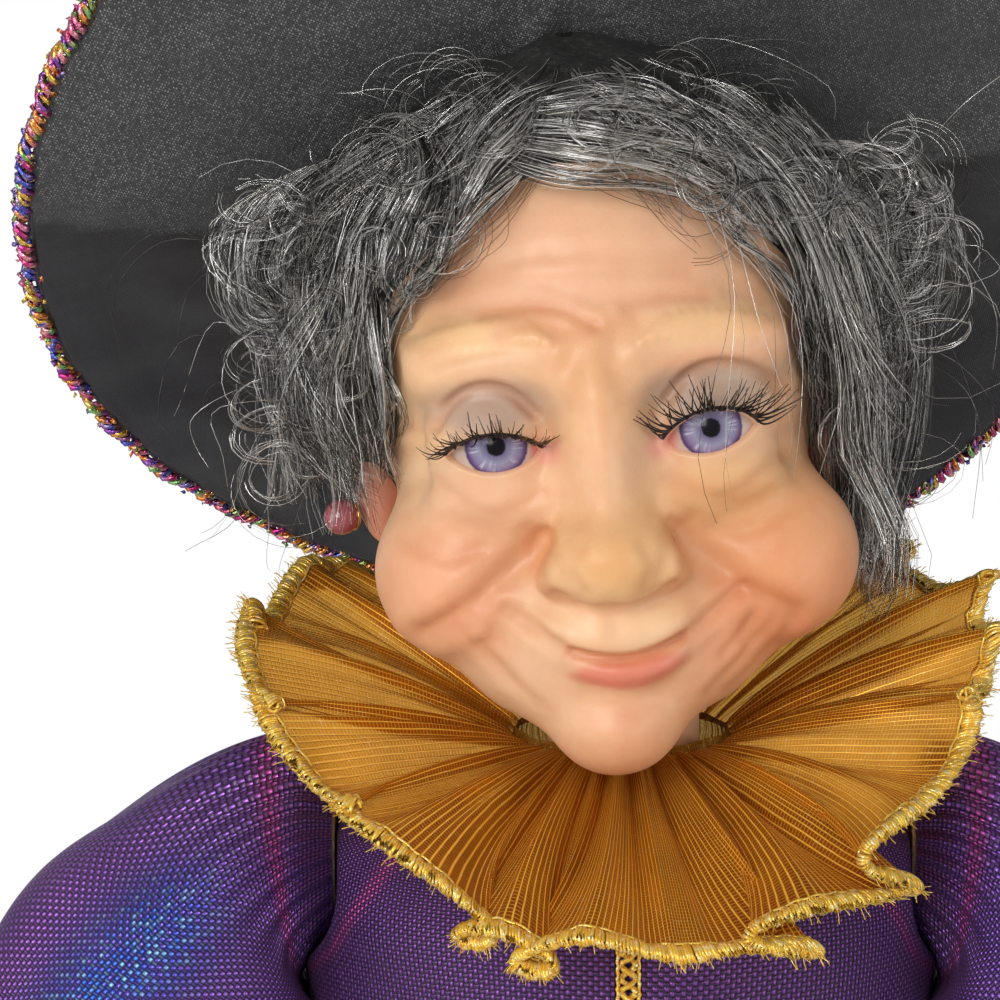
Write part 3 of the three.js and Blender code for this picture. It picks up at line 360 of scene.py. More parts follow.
HEAD_HEIGHT = 400
HEAD_TILT = -5
EYE_X, EYE_Y, EYE_Z = 14, -26.8, 43
EYE_RADIUS = 8.4
LID_RADIUS = 9.5
HEAD_MIDDLE = np.array([0, -2, 38])
NECK_FOOT = -5.3

SKIN = (0.80, 0.495, 0.31)
BLUSH = (0.80, 0.32, 0.155)
LIP = (0.74, 0.25, 0.18)
# The colour below is painted shade: the darker orange that falls in the wrinkles.
CREASE_SHADE = (0.62, 0.235, 0.10)
WAX_YELLOW = (0.90, 0.62, 0.33)
LID_SHADOW = (0.45, 0.335, 0.27)


def from_head(points):
    """Head coordinates into the doll's frame: the head leans to the doll's right."""
    return rotated(points, "y", HEAD_TILT) + [0, 0, HEAD_HEIGHT]


def form(at, size, blend, carve=False, bow=0):
    return dict(at=at, size=size, blend=blend, carve=carve, bow=bow)


def pair(at, size, blend, carve=False, shift=0):
    """The same form on either side of the face."""
    x, y, z = at
    return [form((s * x + shift, y, z), size, blend, carve) for s in (1, -1)]


HEAD_FORMS = [
    form((0, 5, 56), (32, 40, 37), 0),
    form((0, -6, 35), (26.5, 29, 29), 10),
    form((0, 0, 4), (11, 11, 34), 4),
    form((-0.5, -15, 13.5), (21, 17, 12.5), 8),
    form((-1.2, -26.5, 4.6), (8.8, 10, 7.8), 6),
    form((-0.5, -27.8, 17.5), (13.5, 10.5, 8.3), 6),
    form((21.4, -19, 23.8), (12, 14, 12), 6),
    form((-20, -19, 25), (12, 14, 12), 6),
    *pair((12, -27.5, 53), (13, 8, 5), 8),
    *pair((14.5, -38.7, 44.5), (9.5, 6.5, 6.5), 5, carve=True),
    form((-0.3, -32.5, 40), (5.4, 8.5, 15), 4.5),
    form((-0.5, -38.1, 27.7), (7.4, 7.3, 6.1), 4.2),
    *pair((6.7, -35.8, 26.4), (3.5, 5.0, 3.8), 1.7, shift=-0.3),
    *pair((EYE_X, EYE_Y, EYE_Z), (LID_RADIUS,) * 3, 1.2),
    *pair((14, -27.7, 35.5), (9, 6.5, 3.6), 4),
    *pair((9.5, -23, 12.5), (7.5, 8, 5.5), 6),
    form((-0.5, -35.4, 17.3), (8.5, 3.2, 1.9), 2.5, bow=1.5),
    form((0.6, -35, 12.9), (7.2, 3.4, 2.3), 2, bow=1.2),
]


def form_distance(points, f):
    """About how far points lie outside one oval form."""
    u, v, w = np.moveaxis(points - np.array(f["at"], float), -1, 0)
    a, b, c = f["size"]
    away = (u / a) ** 2
    w = w - f["bow"] * away
    near = np.sqrt(away + (v / b) ** 2 + (w / c) ** 2)
    steep = np.sqrt((u / a**2) ** 2 + (v / b**2) ** 2 + (w / c**2) ** 2)
    return near * (near - 1) / np.maximum(steep, 1e-9)


def smooth_min(a, b, blend):
    if blend <= 0:
        return np.minimum(a, b)
    share = np.maximum(blend - np.abs(a - b), 0) / blend
    return np.minimum(a, b) - share * share * blend * 0.25


def head_distance(points):
    """Signed distance from the head's surface, negative inside."""
    distance = form_distance(points, HEAD_FORMS[0])
    for f in HEAD_FORMS[1:]:
        own = form_distance(points, f)
        if f["carve"]:
            distance = -smooth_min(-distance, own, f["blend"])
        else:
            distance = smooth_min(distance, own, f["blend"])
    return distance


def head_radius(directions, start=None):
    """How far the head's surface lies from its middle along each direction."""
    radius = np.full(directions.shape[:-1], 82.0) if start is None else start + 2.5
    for _ in range(46 if start is None else 15):
        radius = radius - 0.75 * head_distance(HEAD_MIDDLE + directions * radius[..., None])
    return radius


def face_directions(rows, columns, round_crowding, up_crowding):
    """Directions from the head's middle, closest together towards the middle of the face."""
    up = np.linspace(-1, 1, rows + 2)[1:-1]
    up = math.pi / 2 * mix(up, up**3, up_crowding)
    turn = np.arange(columns) / columns * 2 - 1
    turn = math.pi * mix(turn, turn**3, round_crowding)
    up, turn = np.meshgrid(up, turn, indexing="ij")
    return direction(turn, up)


def upsampled(values, rows, columns):
    """A grid of values, closed round its columns, read at a finer grid's places."""
    coarse_rows, coarse_columns = values.shape
    i = np.clip((np.arange(rows) + 1) / (rows + 1) * (coarse_rows + 1) - 1, 0, coarse_rows - 1.001)
    j = np.arange(columns) / columns * coarse_columns
    i0, j0 = i.astype(int), j.astype(int)
    ti, tj = (i - i0)[:, None], (j - j0)[None]
    i0, j0, j1 = i0[:, None], j0[None], ((j0 + 1) % coarse_columns)[None]
    low = mix(values[i0, j0], values[i0, j1], tj)
    return mix(low, mix(values[i0 + 1, j0], values[i0 + 1, j1], tj), ti)


def stroke_distance(points, line):
    """Distance of points from a line of (x, z) corners drawn on the front of the face."""
    nearest = np.full(len(points), 1e9)
    flat = points[:, [0, 2]]
    line = np.asarray(line, float)
    for a, b in zip(line, line[1:]):
        along = np.clip(((flat - a) @ (b - a)) / ((b - a) @ (b - a)), 0, 1)
        nearest = np.minimum(nearest, np.linalg.norm(flat - a - along[:, None] * (b - a), axis=1))
    return nearest


def curved(line, steps=14):
    """A drawn line rounded through its corners."""
    return through(evenly(line), np.linspace(0, 1, steps))


# Wrinkles as (line of x, z; depth; width; tint), each pressed into the front of the face; the tint is
# painted shade that darkens the crease
WRINKLES = [
    ([(-21, 60), (-8, 62.5), (2, 61), (14, 62), (23, 59)], 0.26, 1.3, 0.25),
    ([(-17, 65.5), (-5, 67.3), (6, 66.3), (17, 66)], 0.22, 1.1, 0.15),
    ([(-12, 57.6), (-7, 58.8), (-1, 57.6), (5, 58.2)], 0.16, 1.1, 0.45),
    ([(-5, 57), (-3.8, 53.5), (-4.4, 50)], 0.22, 1.3, 0.25),
    ([(2.4, 56), (1.7, 53), (2.8, 49.6)], 0.2, 1.3, 0.22),
    ([(-4.2, 48.4), (0, 47.4), (4, 47.9)], 0.14, 1.0, 0.15),
    ([(-22.5, 43.5), (-28, 46)], 0.12, 0.8, 0.12),
    ([(-22.8, 41.6), (-29, 41.2)], 0.15, 0.8, 0.15),
    ([(-22, 39.4), (-27.5, 36.5)], 0.12, 0.8, 0.12),
    ([(22.5, 43), (28, 45.3)], 0.12, 0.8, 0.12),
    ([(22.8, 41), (29, 40)], 0.15, 0.8, 0.15),
    ([(22, 39), (27.5, 35.5)], 0.12, 0.8, 0.12),
    ([(-21.5, 38), (-15, 34.2), (-8.5, 36.6)], 0.24, 1.0, 0.3),
    ([(-20.5, 34.5), (-14, 31.6), (-9, 33.6)], 0.12, 1.2, 0.15),
    ([(8, 37), (14.5, 33.8), (22, 37.2)], 0.26, 1.0, 0.35),
    ([(9, 33.4), (14.5, 31), (21, 33.8)], 0.12, 1.2, 0.15),
    ([(-21.8, 46), (-19, 49.6), (-15.8, 51.1), (-12, 50.4), (-8.6, 47)], 0.6, 0.65, 0.32),
    ([(8.8, 47.4), (11.5, 50.5), (15.6, 51.5), (20.5, 50), (25, 45.8)], 0.6, 0.65, 0.32),
    ([(-9.6, 30.4), (-12.5, 27.2), (-16.5, 24.4), (-21, 21), (-25.5, 18.4)], 1.05, 1.7, 0.45),
    ([(9.8, 30), (12, 26.2), (16.4, 22), (21, 18.6), (23, 17.2)], 0.95, 1.7, 0.45),
    ([(-21, 18.4), (-17.5, 14.4), (-15, 11)], 0.25, 0.9, 0.2),
    ([(-14.4, 21.4), (-6.4, 15.6), (1.2, 14.2), (8.4, 16.2), (15.8, 20.9)], 0.6, 1.0, 0.4),
    ([(-6.6, 15.7), (-3, 14.9), (0.4, 14.5), (4, 15.0), (8.4, 16.4)], 0.6, 0.55, 1.0),
    ([(-8, 23.6), (-4.4, 21.9), (-0.5, 21.3), (3.6, 21.8), (7.4, 23.4)], 0.4, 0.9, 0.4),
    ([(-24.5, 55.4), (-19, 57.8), (-14, 58.4), (-9, 57.6), (-5, 55.4)], -0.55, 1.5, 0),
    ([(5, 54.4), (9.5, 56.8), (14.2, 57.4), (19, 56.6), (23.4, 54.4)], -0.55, 1.5, 0),
    ([(-14, 60.4), (-9, 61), (-4, 60.2), (0, 58)], 0.3, 0.8, 0.6),
    ([(4.4, 60), (9, 60.8), (15, 60.2)], 0.25, 0.8, 0.35),
    ([(20, 16.2), (15.8, 11.6), (11.3, 7.5)], 0.3, 0.9, 0.3),
    ([(17.6, 17), (13.6, 12.6)], 0.25, 0.8, 0.25),
    ([(-18.2, 16.6), (-14.6, 11.6), (-11.4, 8)], 0.22, 0.9, 0.2),
    ([(-5.5, 8.5), (-0.5, 7.6), (5, 8.6)], 0.4, 1.8, 0.15),
    ([(-1, 22), (-0.7, 18.6)], 0.22, 1.3, 0.1),
    ([(-17.5, 23), (-16.2, 20.2), (-16.6, 17.2)], 0.3, 1.0, 0.3),
    ([(16.8, 21.4), (18.2, 18.4), (16.6, 14.6)], 0.35, 1.0, 0.35),
    ([(23, 15.6), (18.6, 10.6), (14, 7.2)], 0.25, 0.9, 0.25),
    ([(-27.5, 31), (-22, 28.6), (-17, 29.6)], 0.22, 1.0, 0.25),
    ([(13, 29.4), (18, 29), (24.4, 31.4)], 0.22, 1.0, 0.25),
    ([(-19.5, 63), (-12, 64.6), (-4, 64), (4, 64.4), (13, 64)], 0.2, 0.9, 0.2),
    ([(-8.4, 31.2), (-10, 28.6), (-9.6, 25.2), (-7.4, 23.4)], 0.45, 0.9, 0.35),
    ([(7.6, 31), (9.3, 28.4), (8.9, 25), (6.6, 23.2)], 0.45, 0.9, 0.35),
    ([(-4.6, 30.4), (-5.6, 27.2), (-4.4, 24.4)], 0.2, 0.9, 0.15),
    ([(3.8, 30.2), (4.7, 27), (3.5, 24.2)], 0.2, 0.9, 0.15),
]

# Brow hairs modelled in the wax: short raised strokes that lean outwards along each brow
for brow, height in ((-1, 57.2), (1, 56.2)):
    for stroke in np.linspace(0, 1, 11):
        foot_x, foot_z = brow * mix(6, 22, stroke), height + 2.2 * stroke - 3.4 * stroke**2
        tip_x, tip_z = foot_x + brow * 3.2, foot_z + mix(2.0, 0.2, stroke)
        WRINKLES.append(([(foot_x, foot_z - 0.8), (tip_x, tip_z)], -0.2, 0.55, 0.12))

# Painted patches as (colour; x, z; half-width, half-height; lean in degrees; strength; edge softness)
PATCHES = [
    # The left cheek's blush is stronger than the right's: blush, and painted shade on the side turned from
    # the light.
    (BLUSH, (24, 24), (10, 10), 0, 0.85, 1.0),
    (BLUSH, (-23, 24.5), (9, 8), 0, 0.55, 1.0),
    (BLUSH, (-1, 2), (8, 6), 0, 0.4, 1.0),
    (BLUSH, (17, 13), (9, 7), 30, 0.5, 1.0),
    ((0.86, 0.53, 0.35), (-2, 66), (20, 7), 0, 0.7, 0.9),
    ((0.78, 0.42, 0.16), (-0.5, 27.5), (9, 6.8), 0, 0.8, 1.0),
    (WAX_YELLOW, (-0.8, 18.8), (11, 2.8), 0, 0.5, 0.8),
    ((0.84, 0.60, 0.39), (-4.5, 20), (12, 4.6), -18, 0.6, 0.8),
    ((0.86, 0.58, 0.38), (-12, 9), (8, 6), 0, 0.45, 1.0),
    (WAX_YELLOW, (-14.8, 57.6), (9.6, 2.3), -2, 0.8, 0.6),
    (WAX_YELLOW, (14.4, 56.6), (9.2, 2.3), 0, 0.75, 0.6),
    (BLUSH, (15, 51.8), (7, 1.2), -3, 0.35, 0.9),
    # Painted light: the doll's right temple is painted paler and yellower, against the shadow that the hair
    # casts there.
    (WAX_YELLOW, (-25, 50), (7, 11), 0, 0.5, 1.0),
    ((0.88, 0.56, 0.32), (-4, 42), (4, 8), 0, 0.4, 1.0),
    (WAX_YELLOW, (15, 36.6), (7.5, 2.6), 0, 0.45, 0.8),
    ((0.88, 0.55, 0.36), (-15, 37), (7.5, 2.6), 0, 0.5, 0.8),
    (BLUSH, (-4, 57), (6, 4), 0, 0.3, 1.0),
    ((0.84, 0.38, 0.30), (-7.4, 42), (1.8, 1.6), 0, 0.8, 0.6),
    ((0.84, 0.38, 0.30), (7.2, 41.6), (1.8, 1.6), 0, 0.8, 0.6),
    ((0.80, 0.47, 0.22), (-1, 50), (6, 6), 0, 0.6, 1.0),
    # Painted shade: the face's left side, turned from the light, is painted darker and more orange under the
    # eye, over the cheek and at the jaw.
    ((0.80, 0.47, 0.19), (16, 33.5), (9, 4), 0, 0.6, 0.9),
    ((0.74, 0.37, 0.16), (20, 27), (9, 9), 0, 0.45, 1.0),
    (BLUSH, (24, 17), (9, 7), 0, 0.5, 1.0),
    (LIP, (0.9, 12.9), (7.4, 1.9), 4, 0.95, 0.25),
    (LIP, (1.2, 11.9), (4.8, 1.8), 0, 0.95, 0.3),
]


def patch_share(points, at, size, lean, softness):
    """1 inside a painted patch, falling to 0 over its soft edge."""
    u, w = points[:, 0] - at[0], points[:, 2] - at[1]
    c, s = math.cos(math.radians(lean)), math.sin(math.radians(lean))
    reach = np.hypot((u * c + w * s) / size[0], (w * c - u * s) / size[1])
    return 1 - smooth_step(1 - softness, 1 + softness, reach)


# Eye openings on the doll's left and right: middle x, up, down, and the lift of the inner and outer corner
OPENINGS = {1: (13.9, 2.7, 3.0, -1.4, 0.1), -1: (-14.3, 2.1, 3.1, -0.9, -0.7)}
OPENING_HALF_WIDTH = 6.5


def opening_edges(side, across):
    """Heights of the upper and lower lid edges, across running from -1, inner, to 1, outer."""
    _, up, down, inner, outer = OPENINGS[side]
    corner = mix(inner, outer, (across + 1) / 2)
    arch = np.maximum(1 - across * across, 0)
    return EYE_Z + corner + up * 1.25 * arch**0.75, EYE_Z + corner - down * 0.9 * arch**0.8


def opening_distance(points, side):
    """Signed distance in front view from the almond between the lids, negative inside."""
    across = side * (points[:, 0] - OPENINGS[side][0]) / OPENING_HALF_WIDTH
    top, bottom = opening_edges(side, np.clip(across, -1, 1))
    inside = np.maximum(points[:, 2] - top, bottom - points[:, 2])
    outside = np.hypot((np.abs(across) - 1) * OPENING_HALF_WIDTH, points[:, 2] - top)
    distance = np.where(np.abs(across) < 1, inside, outside)
    return np.where(points[:, 1] < EYE_Y, distance, 50.0)


def sculpt_face(points, normals):
    """Presses the wrinkles in and gives each point its painted colour."""
    front = np.flatnonzero(points[:, 1] < -8)
    face = points[front]
    sunk = np.zeros(len(face))
    colour = np.tile(SKIN, (len(face), 1))
    for paint, at, size, lean, strength, softness in PATCHES:
        share = (patch_share(face, at, size, lean, softness) * strength)[:, None]
        colour = mix(colour, np.array(paint), share)
    for side in (1, -1):
        x = OPENINGS[side][0]
        lid = patch_share(face, (x + side * 0.4, EYE_Z + 5.2), (8, 3.4), 0, 0.55)
        lid = lid * smooth_step(-0.2, 0.8, opening_distance(face, side))
        colour = mix(colour, np.array(LID_SHADOW), (0.92 * lid)[:, None])
    for line, depth, width, tint in WRINKLES:
        away = stroke_distance(face, curved(line)) / width
        sunk += depth * (np.exp(-away * away) - 0.28 * np.exp(-((away - 2) ** 2)))
        # Painted shade: each crease is darkened by its tint.
        colour = mix(colour, np.array(CREASE_SHADE), (0.75 * tint * np.exp(-0.4 * away * away))[:, None])
    painted = np.tile(SKIN, (len(points), 1))
    fade = smooth_step(-8, -16, face[:, 1])
    painted[front] = mix(painted[front], colour, fade[:, None])
    moved = points.copy()
    moved[front] -= normals[front] * (sunk * fade)[:, None]
    return moved, painted


def grid_normals(points, rows, columns):
    block = points.reshape(rows, columns, 3)
    round_it = np.roll(block, -1, 1) - np.roll(block, 1, 1)
    return unit(np.cross(round_it, np.gradient(block, axis=0))).reshape(-1, 3)


def cut_opening(points, triangles, side):
    """Snaps the mesh to the almond between the lids, drops the faces inside and turns its rim in."""
    away = opening_distance(points, side)
    edges = np.concatenate([triangles[:, [k, (k + 1) % 3]] for k in range(3)])
    edges = edges[away[edges[:, 0]] * away[edges[:, 1]] < 0]
    near = np.argmin(np.abs(away[edges]), axis=1)
    rows = np.arange(len(edges))
    mover, other = edges[rows, near], edges[rows, 1 - near]
    share = away[mover] / (away[mover] - away[other])
    order = np.argsort(-share)
    moved = points.copy()
    moved[mover[order]] = mix(points[mover], points[other], share[:, None])[order]
    away[mover] = 0
    kept = triangles[np.any(away[triangles] > 0, axis=1)]
    kept_edges = np.concatenate([kept[:, [k, (k + 1) % 3]] for k in range(3)])
    kept_edges = kept_edges[np.all(away[kept_edges] <= 0, axis=1)]
    _, first, count = np.unique(np.sort(kept_edges, 1), axis=0, return_index=True, return_counts=True)
    rim = kept_edges[first[count == 1]]
    centre = np.array([side * EYE_X, EYE_Y, EYE_Z])
    inner = np.arange(len(rim) * 2).reshape(-1, 2) + len(moved)
    turned_in = centre + unit(moved[rim] - centre) * (EYE_RADIUS - 0.4)
    turned = np.column_stack([rim[:, 1], rim[:, 0], inner[:, 0], inner[:, 1]])
    points = np.concatenate([moved, turned_in.reshape(-1, 3)])
    return points, np.concatenate([kept, triangles_of(turned)]), rim.ravel()


def ear_shell(side):
    """An oval ear with a hollow in its outer face: points and triangles."""
    rows, columns = 40, 48
    up, turn = np.meshgrid(
        np.linspace(-1.5, 1.5, rows), round_turn(columns), indexing="ij"
    )
    ray = direction(turn, up)
    points = ray * [4.3, 6.6, 11.5]
    hollow = np.hypot((points[..., 1] + 1.2) / 3.6, (points[..., 2] - 1.8) / 6)
    points[..., 0] -= 2.2 * smooth_step(1.25, 0.5, hollow) * (ray[..., 0] > 0)
    points[..., 0] += 0.9 * smooth_step(2, 7, points[..., 1])
    points = (points + [31, 4, 37.5]).reshape(-1, 3) * [side, 1, 1]
    quads, _ = grid_faces(rows, columns)
    return points, triangles_of(quads)[:, ::side]


def make_head(material):
    rows, columns = 296, 310
    round_crowding, up_crowding = 0.7, 0.58
    coarse = face_directions(66, 84, round_crowding, up_crowding)
    start = upsampled(head_radius(coarse), rows, columns)
    directions = face_directions(rows, columns, round_crowding, up_crowding)
    points = HEAD_MIDDLE + directions * head_radius(directions, start=start)[..., None]
    points = points.reshape(-1, 3)
    points, painted = sculpt_face(points, grid_normals(points, rows, columns))
    points[:, 2] = np.maximum(points[:, 2], NECK_FOOT + 0.5 * np.tanh((points[:, 2] - NECK_FOOT) / 20))
    quads, _ = grid_faces(rows, columns)
    faces = triangles_of(quads)
    for side in (1, -1):
        points, faces, rim = cut_opening(points, faces, side)
        painted = np.concatenate([painted, mix(painted[rim], np.array((0.8, 0.36, 0.28)), 0.6)])
    ears = [ear_shell(side) for side in (1, -1)]
    ear_points = sum(len(shell) for shell, _ in ears)
    painted = np.concatenate([painted, np.tile((0.80, 0.40, 0.29), (ear_points, 1))])
    points, faces = join_meshes([(points, faces), *ears])
    head = new_piece("head", from_head(points), faces, material)
    set_value(head, "paint", painted)
    return stands_for(head, "head", "skin", "head")


# Eyes, lashes and ear studs

IRIS_RADIUS = 4.0


def eye_colour_tree(tree):
    """Pupil, streaked lavender iris, dark rim and ivory white, by distance from the gaze."""
    reach = drawn(tree, "iris")
    turn = drawn(tree, "turn", "Vector")
    streak = noise(tree, 5.5, 4, 0.7, turn)
    wobble = calc(tree, "MULTIPLY_ADD", calc(tree, "SUBTRACT", streak, 0.5), 0.1, reach)
    bands = ramp(tree, calc(tree, "DIVIDE", wobble, 1.6), [
        (0.0, (0.004, 0.003, 0.004)),
        (0.17, (0.006, 0.005, 0.008)),
        (0.205, (0.17, 0.14, 0.25)),
        (0.36, (0.29, 0.28, 0.39)),
        (0.50, (0.24, 0.19, 0.34)),
        (0.585, (0.12, 0.07, 0.19)),
        (0.625, (0.07, 0.045, 0.13)),
        (0.665, (0.60, 0.47, 0.40)),
        (1.0, (0.62, 0.45, 0.36)),
    ])
    light_streaks = ranged(tree, streak, 0.52, 0.72)
    ring = calc(tree, "MULTIPLY", ranged(tree, reach, 0.45, 0.6), ranged(tree, reach, 0.95, 0.8))
    pale = mixed(tree, calc(tree, "MULTIPLY", light_streaks, ring), bands, (0.60, 0.58, 0.70))
    pink = drawn(tree, "pink")
    return mixed(tree, pink, pale, (0.72, 0.30, 0.24))


def eye_material():
    made, tree, shader = new_material("lavender eye")
    fill(tree, shader, {
        "Base Color": eye_colour_tree(tree),
        "Roughness": ranged(tree, noise(tree, 600), 0.3, 0.7, 0.16, 0.24),
        "Specular IOR Level": 0.15,
        "Coat Weight": 0.18,
        "Coat Roughness": 0.05,
        "Subsurface Weight": 0.08,
        "Subsurface Radius": (0.002, 0.001, 0.0006),
    })
    return made


def make_eye(side, material):
    rings, turns = 90, 96
    polar, turn = np.meshgrid(np.linspace(0.002, 2.1, rings), round_turn(turns), indexing="ij")
    bulge = 0.45 * np.maximum(1 - (polar / 0.52) ** 2, 0) ** 2
    radius = EYE_RADIUS + bulge
    wide = radius * np.sin(polar)
    points = np.stack([wide * np.cos(turn), -radius * np.cos(polar), wide * np.sin(turn)], -1)
    flat = points.reshape(-1, 3)
    gaze_up = 2.0
    world = from_head(rotated(flat, "x", -gaze_up) + [side * EYE_X, EYE_Y, EYE_Z])
    quads, _ = grid_faces(rings, turns)
    eye = new_piece(f"{side_name(side)}_eye", world, quads[:, ::-1], material)
    set_value(eye, "iris", (EYE_RADIUS * np.sin(np.minimum(polar, 1.5)) / IRIS_RADIUS).ravel())
    outward = np.stack([np.cos(turn) * 1.6, np.sin(turn) * 1.6, polar * 0.35], -1).reshape(-1, 3)
    set_value(eye, "turn", outward)
    inner = flat - [side * -5.9, -6.0, -0.9]
    set_value(eye, "pink", smooth_step(2.6, 1.2, np.linalg.norm(inner, axis=1)))
    return stands_for(eye, "head", "eye", f"{side_name(side)}_eye")


def lash_material():
    made, tree, shader = new_material("lash fibre")
    tint = drawn(tree, "tint")
    dark = mixed(tree, noise(tree, 900), (0.006, 0.005, 0.006), (0.022, 0.017, 0.016))
    fill(tree, shader, {
        "Base Color": mixed(tree, tint, dark, (0.30, 0.15, 0.03)),
        "Roughness": 0.38,
        "Specular IOR Level": 0.4,
    })
    return made


def lash_roots(side, across):
    """Points on the upper lid's rim."""
    top, _ = opening_edges(side, across)
    x = OPENINGS[side][0] + side * across * OPENING_HALF_WIDTH
    rise = np.hypot(x - side * EYE_X, top - EYE_Z)
    y = EYE_Y - np.sqrt(np.maximum((LID_RADIUS + 0.1) ** 2 - rise**2, 1))
    return np.stack([x, y, top + 0.15], -1)


def make_lashes(side, material):
    """A glued lash strip: the doll's left fans up, its right hangs in clumps."""
    random = np.random.default_rng(40 + side)
    count = 66
    across = np.sort(np.clip(np.linspace(-0.9, 0.98, count) + random.normal(0, 0.03, count), -0.95, 0.99))
    roots = lash_roots(side, across)
    clump = np.round(across * 7) / 7 if side < 0 else across
    fan = 0.55 * across + 0.45 * clump + random.normal(0, 0.32, count)
    lift = random.normal(3.9, 1.0, count) if side > 0 else random.normal(1.6, 1.4, count)
    lift = lift * (1 - 0.45 * np.abs(across))
    reach = random.normal(4.2, 0.7, count)
    spread = 5.4 if side > 0 else 2.6
    tip = roots + np.stack([side * (fan * spread + 0.5), -reach * (1 - 0.25 * np.abs(across)), lift], -1)
    sideways = side * (fan * 1.6 + random.normal(0, 0.5, count))
    sag = np.stack([sideways, -0.7 * reach, random.normal(-0.6, 0.5, count)], -1)
    paths = bezier([roots[:, None], (roots + sag)[:, None], tip[:, None]], np.linspace(0, 1, 9)[None])
    taper = 0.17 * (1 - 0.75 * np.linspace(0, 1, 9))[None] * random.uniform(0.7, 1.2, (count, 1))
    points, faces, strand, share = strands(paths, taper, 4)
    band_across = np.linspace(-0.97, 0.99, 40)
    band_points, band_faces, _, _ = strands(lash_roots(side, band_across)[None], np.full((1, 40), 0.24), 6)
    whole, quads = join_meshes([(points, faces), (band_points, band_faces)])
    lashes = new_piece(f"{side_name(side)}_lashes", from_head(whole), quads, material)
    golden = (across < -0.45) * (side < 0) * random.uniform(0.3, 1, count)
    set_value(lashes, "tint", np.concatenate([golden[strand] * share, np.zeros(len(band_points))]))
    return stands_for(lashes, "head", "lash_fibre", f"{side_name(side)}_lashes")


def pearl_material():
    made, tree, shader = new_material("rose pearl")
    facing = node(tree, "LayerWeight", {"Blend": 0.35}).outputs["Facing"]
    cloud = noise(tree, 420, 3)
    rose = mixed(tree, cloud, (0.32, 0.055, 0.085), (0.50, 0.14, 0.17))
    gold = drawn(tree, "gold")
    fill(tree, shader, {
        "Base Color": mixed(tree, gold, rose, (0.72, 0.44, 0.12)),
        "Metallic": calc(tree, "MULTIPLY", gold, 0.9),
        "Roughness": ranged(tree, facing, 0, 1, 0.16, 0.3),
        "Coat Weight": 0.8,
        "Coat Roughness": 0.06,
    })
    return made


def make_earring(side, material):
    """A pearl in a small gold cup on the lobe, turned round its own axis."""
    name = f"{side_name(side)}_earring"
    low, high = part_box(name)
    centre = np.array((low + high) / 2) / MM
    axis = unit([side, -0.45, 0])
    across = unit(np.cross(axis, [0, 0, 1]))
    up = np.cross(across, axis)
    pearl = 2.5
    angle = np.linspace(0.02, 2.5, 40)
    profile = np.column_stack([pearl * np.sin(angle), pearl * np.cos(angle)])
    cup = [(1.62, -1.78), (1.95, -1.75), (2.0, -1.95), (1.6, -2.35), (0.9, -2.5), (0.02, -2.52)]
    profile = np.concatenate([profile, cup])
    turns = 48
    turn = round_turn(turns)
    ring = across * np.cos(turn)[:, None] + up * np.sin(turn)[:, None]
    points = centre + profile[:, :1, None] * ring[None] + profile[:, 1:, None] * axis
    quads, _ = grid_faces(len(profile), turns)
    earring = new_piece(name, points, quads[:, ::-1], material)
    set_value(earring, "gold", np.repeat(np.arange(len(profile)) >= len(profile) - len(cup), turns))
    return stands_for(earring, "head", "pearl", name)


# Skin

def skin_grain_group():
    """Fine pores and mottling of cast skin: a tint factor and a normal."""
    kinds = {"Pore Scale": "NodeSocketFloat", "Mottle Scale": "NodeSocketFloat"}
    results = {"Mottle": "NodeSocketFloat", "Normal": "NodeSocketVector"}
    tree, given, out = new_group("cast skin grain", kinds, results)
    mottle = noise(tree, given["Mottle Scale"], 4, 0.6)
    pores = noise(tree, given["Pore Scale"], 3, 0.5)
    lumps = noise(tree, given["Mottle Scale"], 2, 0.5)
    fine = bump(tree, pores, 0.00004)
    fill(tree, out, {"Mottle": mottle, "Normal": bump(tree, lumps, 0.0002, fine)})
    return tree


def skin_material(grain):
    made, tree, shader = new_material("waxy skin")
    detail = grouped(tree, grain, {"Pore Scale": 2200.0, "Mottle Scale": 130.0})
    paint = drawn(tree, "paint", "Color")
    warm = mixed(tree, ranged(tree, detail["Mottle"], 0.35, 0.68), (1.04, 1.05, 1.0), (0.97, 0.90, 0.84))
    flush = mixed(tree, ranged(tree, noise(tree, 52, 3), 0.38, 0.66), (1.0, 1.0, 1.0), (1.0, 0.92, 0.90))
    painted = mixed(tree, 1.0, paint, warm, "MULTIPLY")
    fill(tree, shader, {
        "Base Color": mixed(tree, 1.0, painted, flush, "MULTIPLY"),
        "Roughness": ranged(tree, detail["Mottle"], 0.3, 0.7, 0.38, 0.50),
        "Specular IOR Level": 0.4,
        "Subsurface Weight": 0.25,
        "Subsurface Radius": (0.0018, 0.0008, 0.0004),
        "Subsurface Scale": 1.0,
        "Coat Weight": 0.08,
        "Coat Roughness": 0.24,
        "Normal": detail["Normal"],
    })
    return made


# Wig: a fibre base painted near-black as shade under the locks, and locks of single strands, laid over the
# head by direction and height

# Hairline height at each x, from the doll's right temple to its left
HAIRLINE = [
    (-60, 33), (-33, 36), (-30, 53), (-26, 62), (-15, 72.5), (-3, 77.5),
    (10, 76), (20, 69.5), (27.5, 61), (31.5, 51), (34, 34), (60, 31),
]
NAPE = 25
HAT_MIDDLE = np.array([0, 20, 71.5])
HAT_TILT = -51
BRIM_RADIUS = 77


def from_hat(points):
    """Hat coordinates into head coordinates: the hat is pushed to the back of the head."""
    return rotated(points, "x", HAT_TILT) + HAT_MIDDLE


HAT_AXIS = rotated([0, 0, 1], "x", HAT_TILT)


def below_brim(points, clear):
    """Points that would pass through the brim's underside are pressed back under it."""
    above = np.maximum((points - HAT_MIDDLE) @ HAT_AXIS + clear, 0)
    return points - above[..., None] * HAT_AXIS


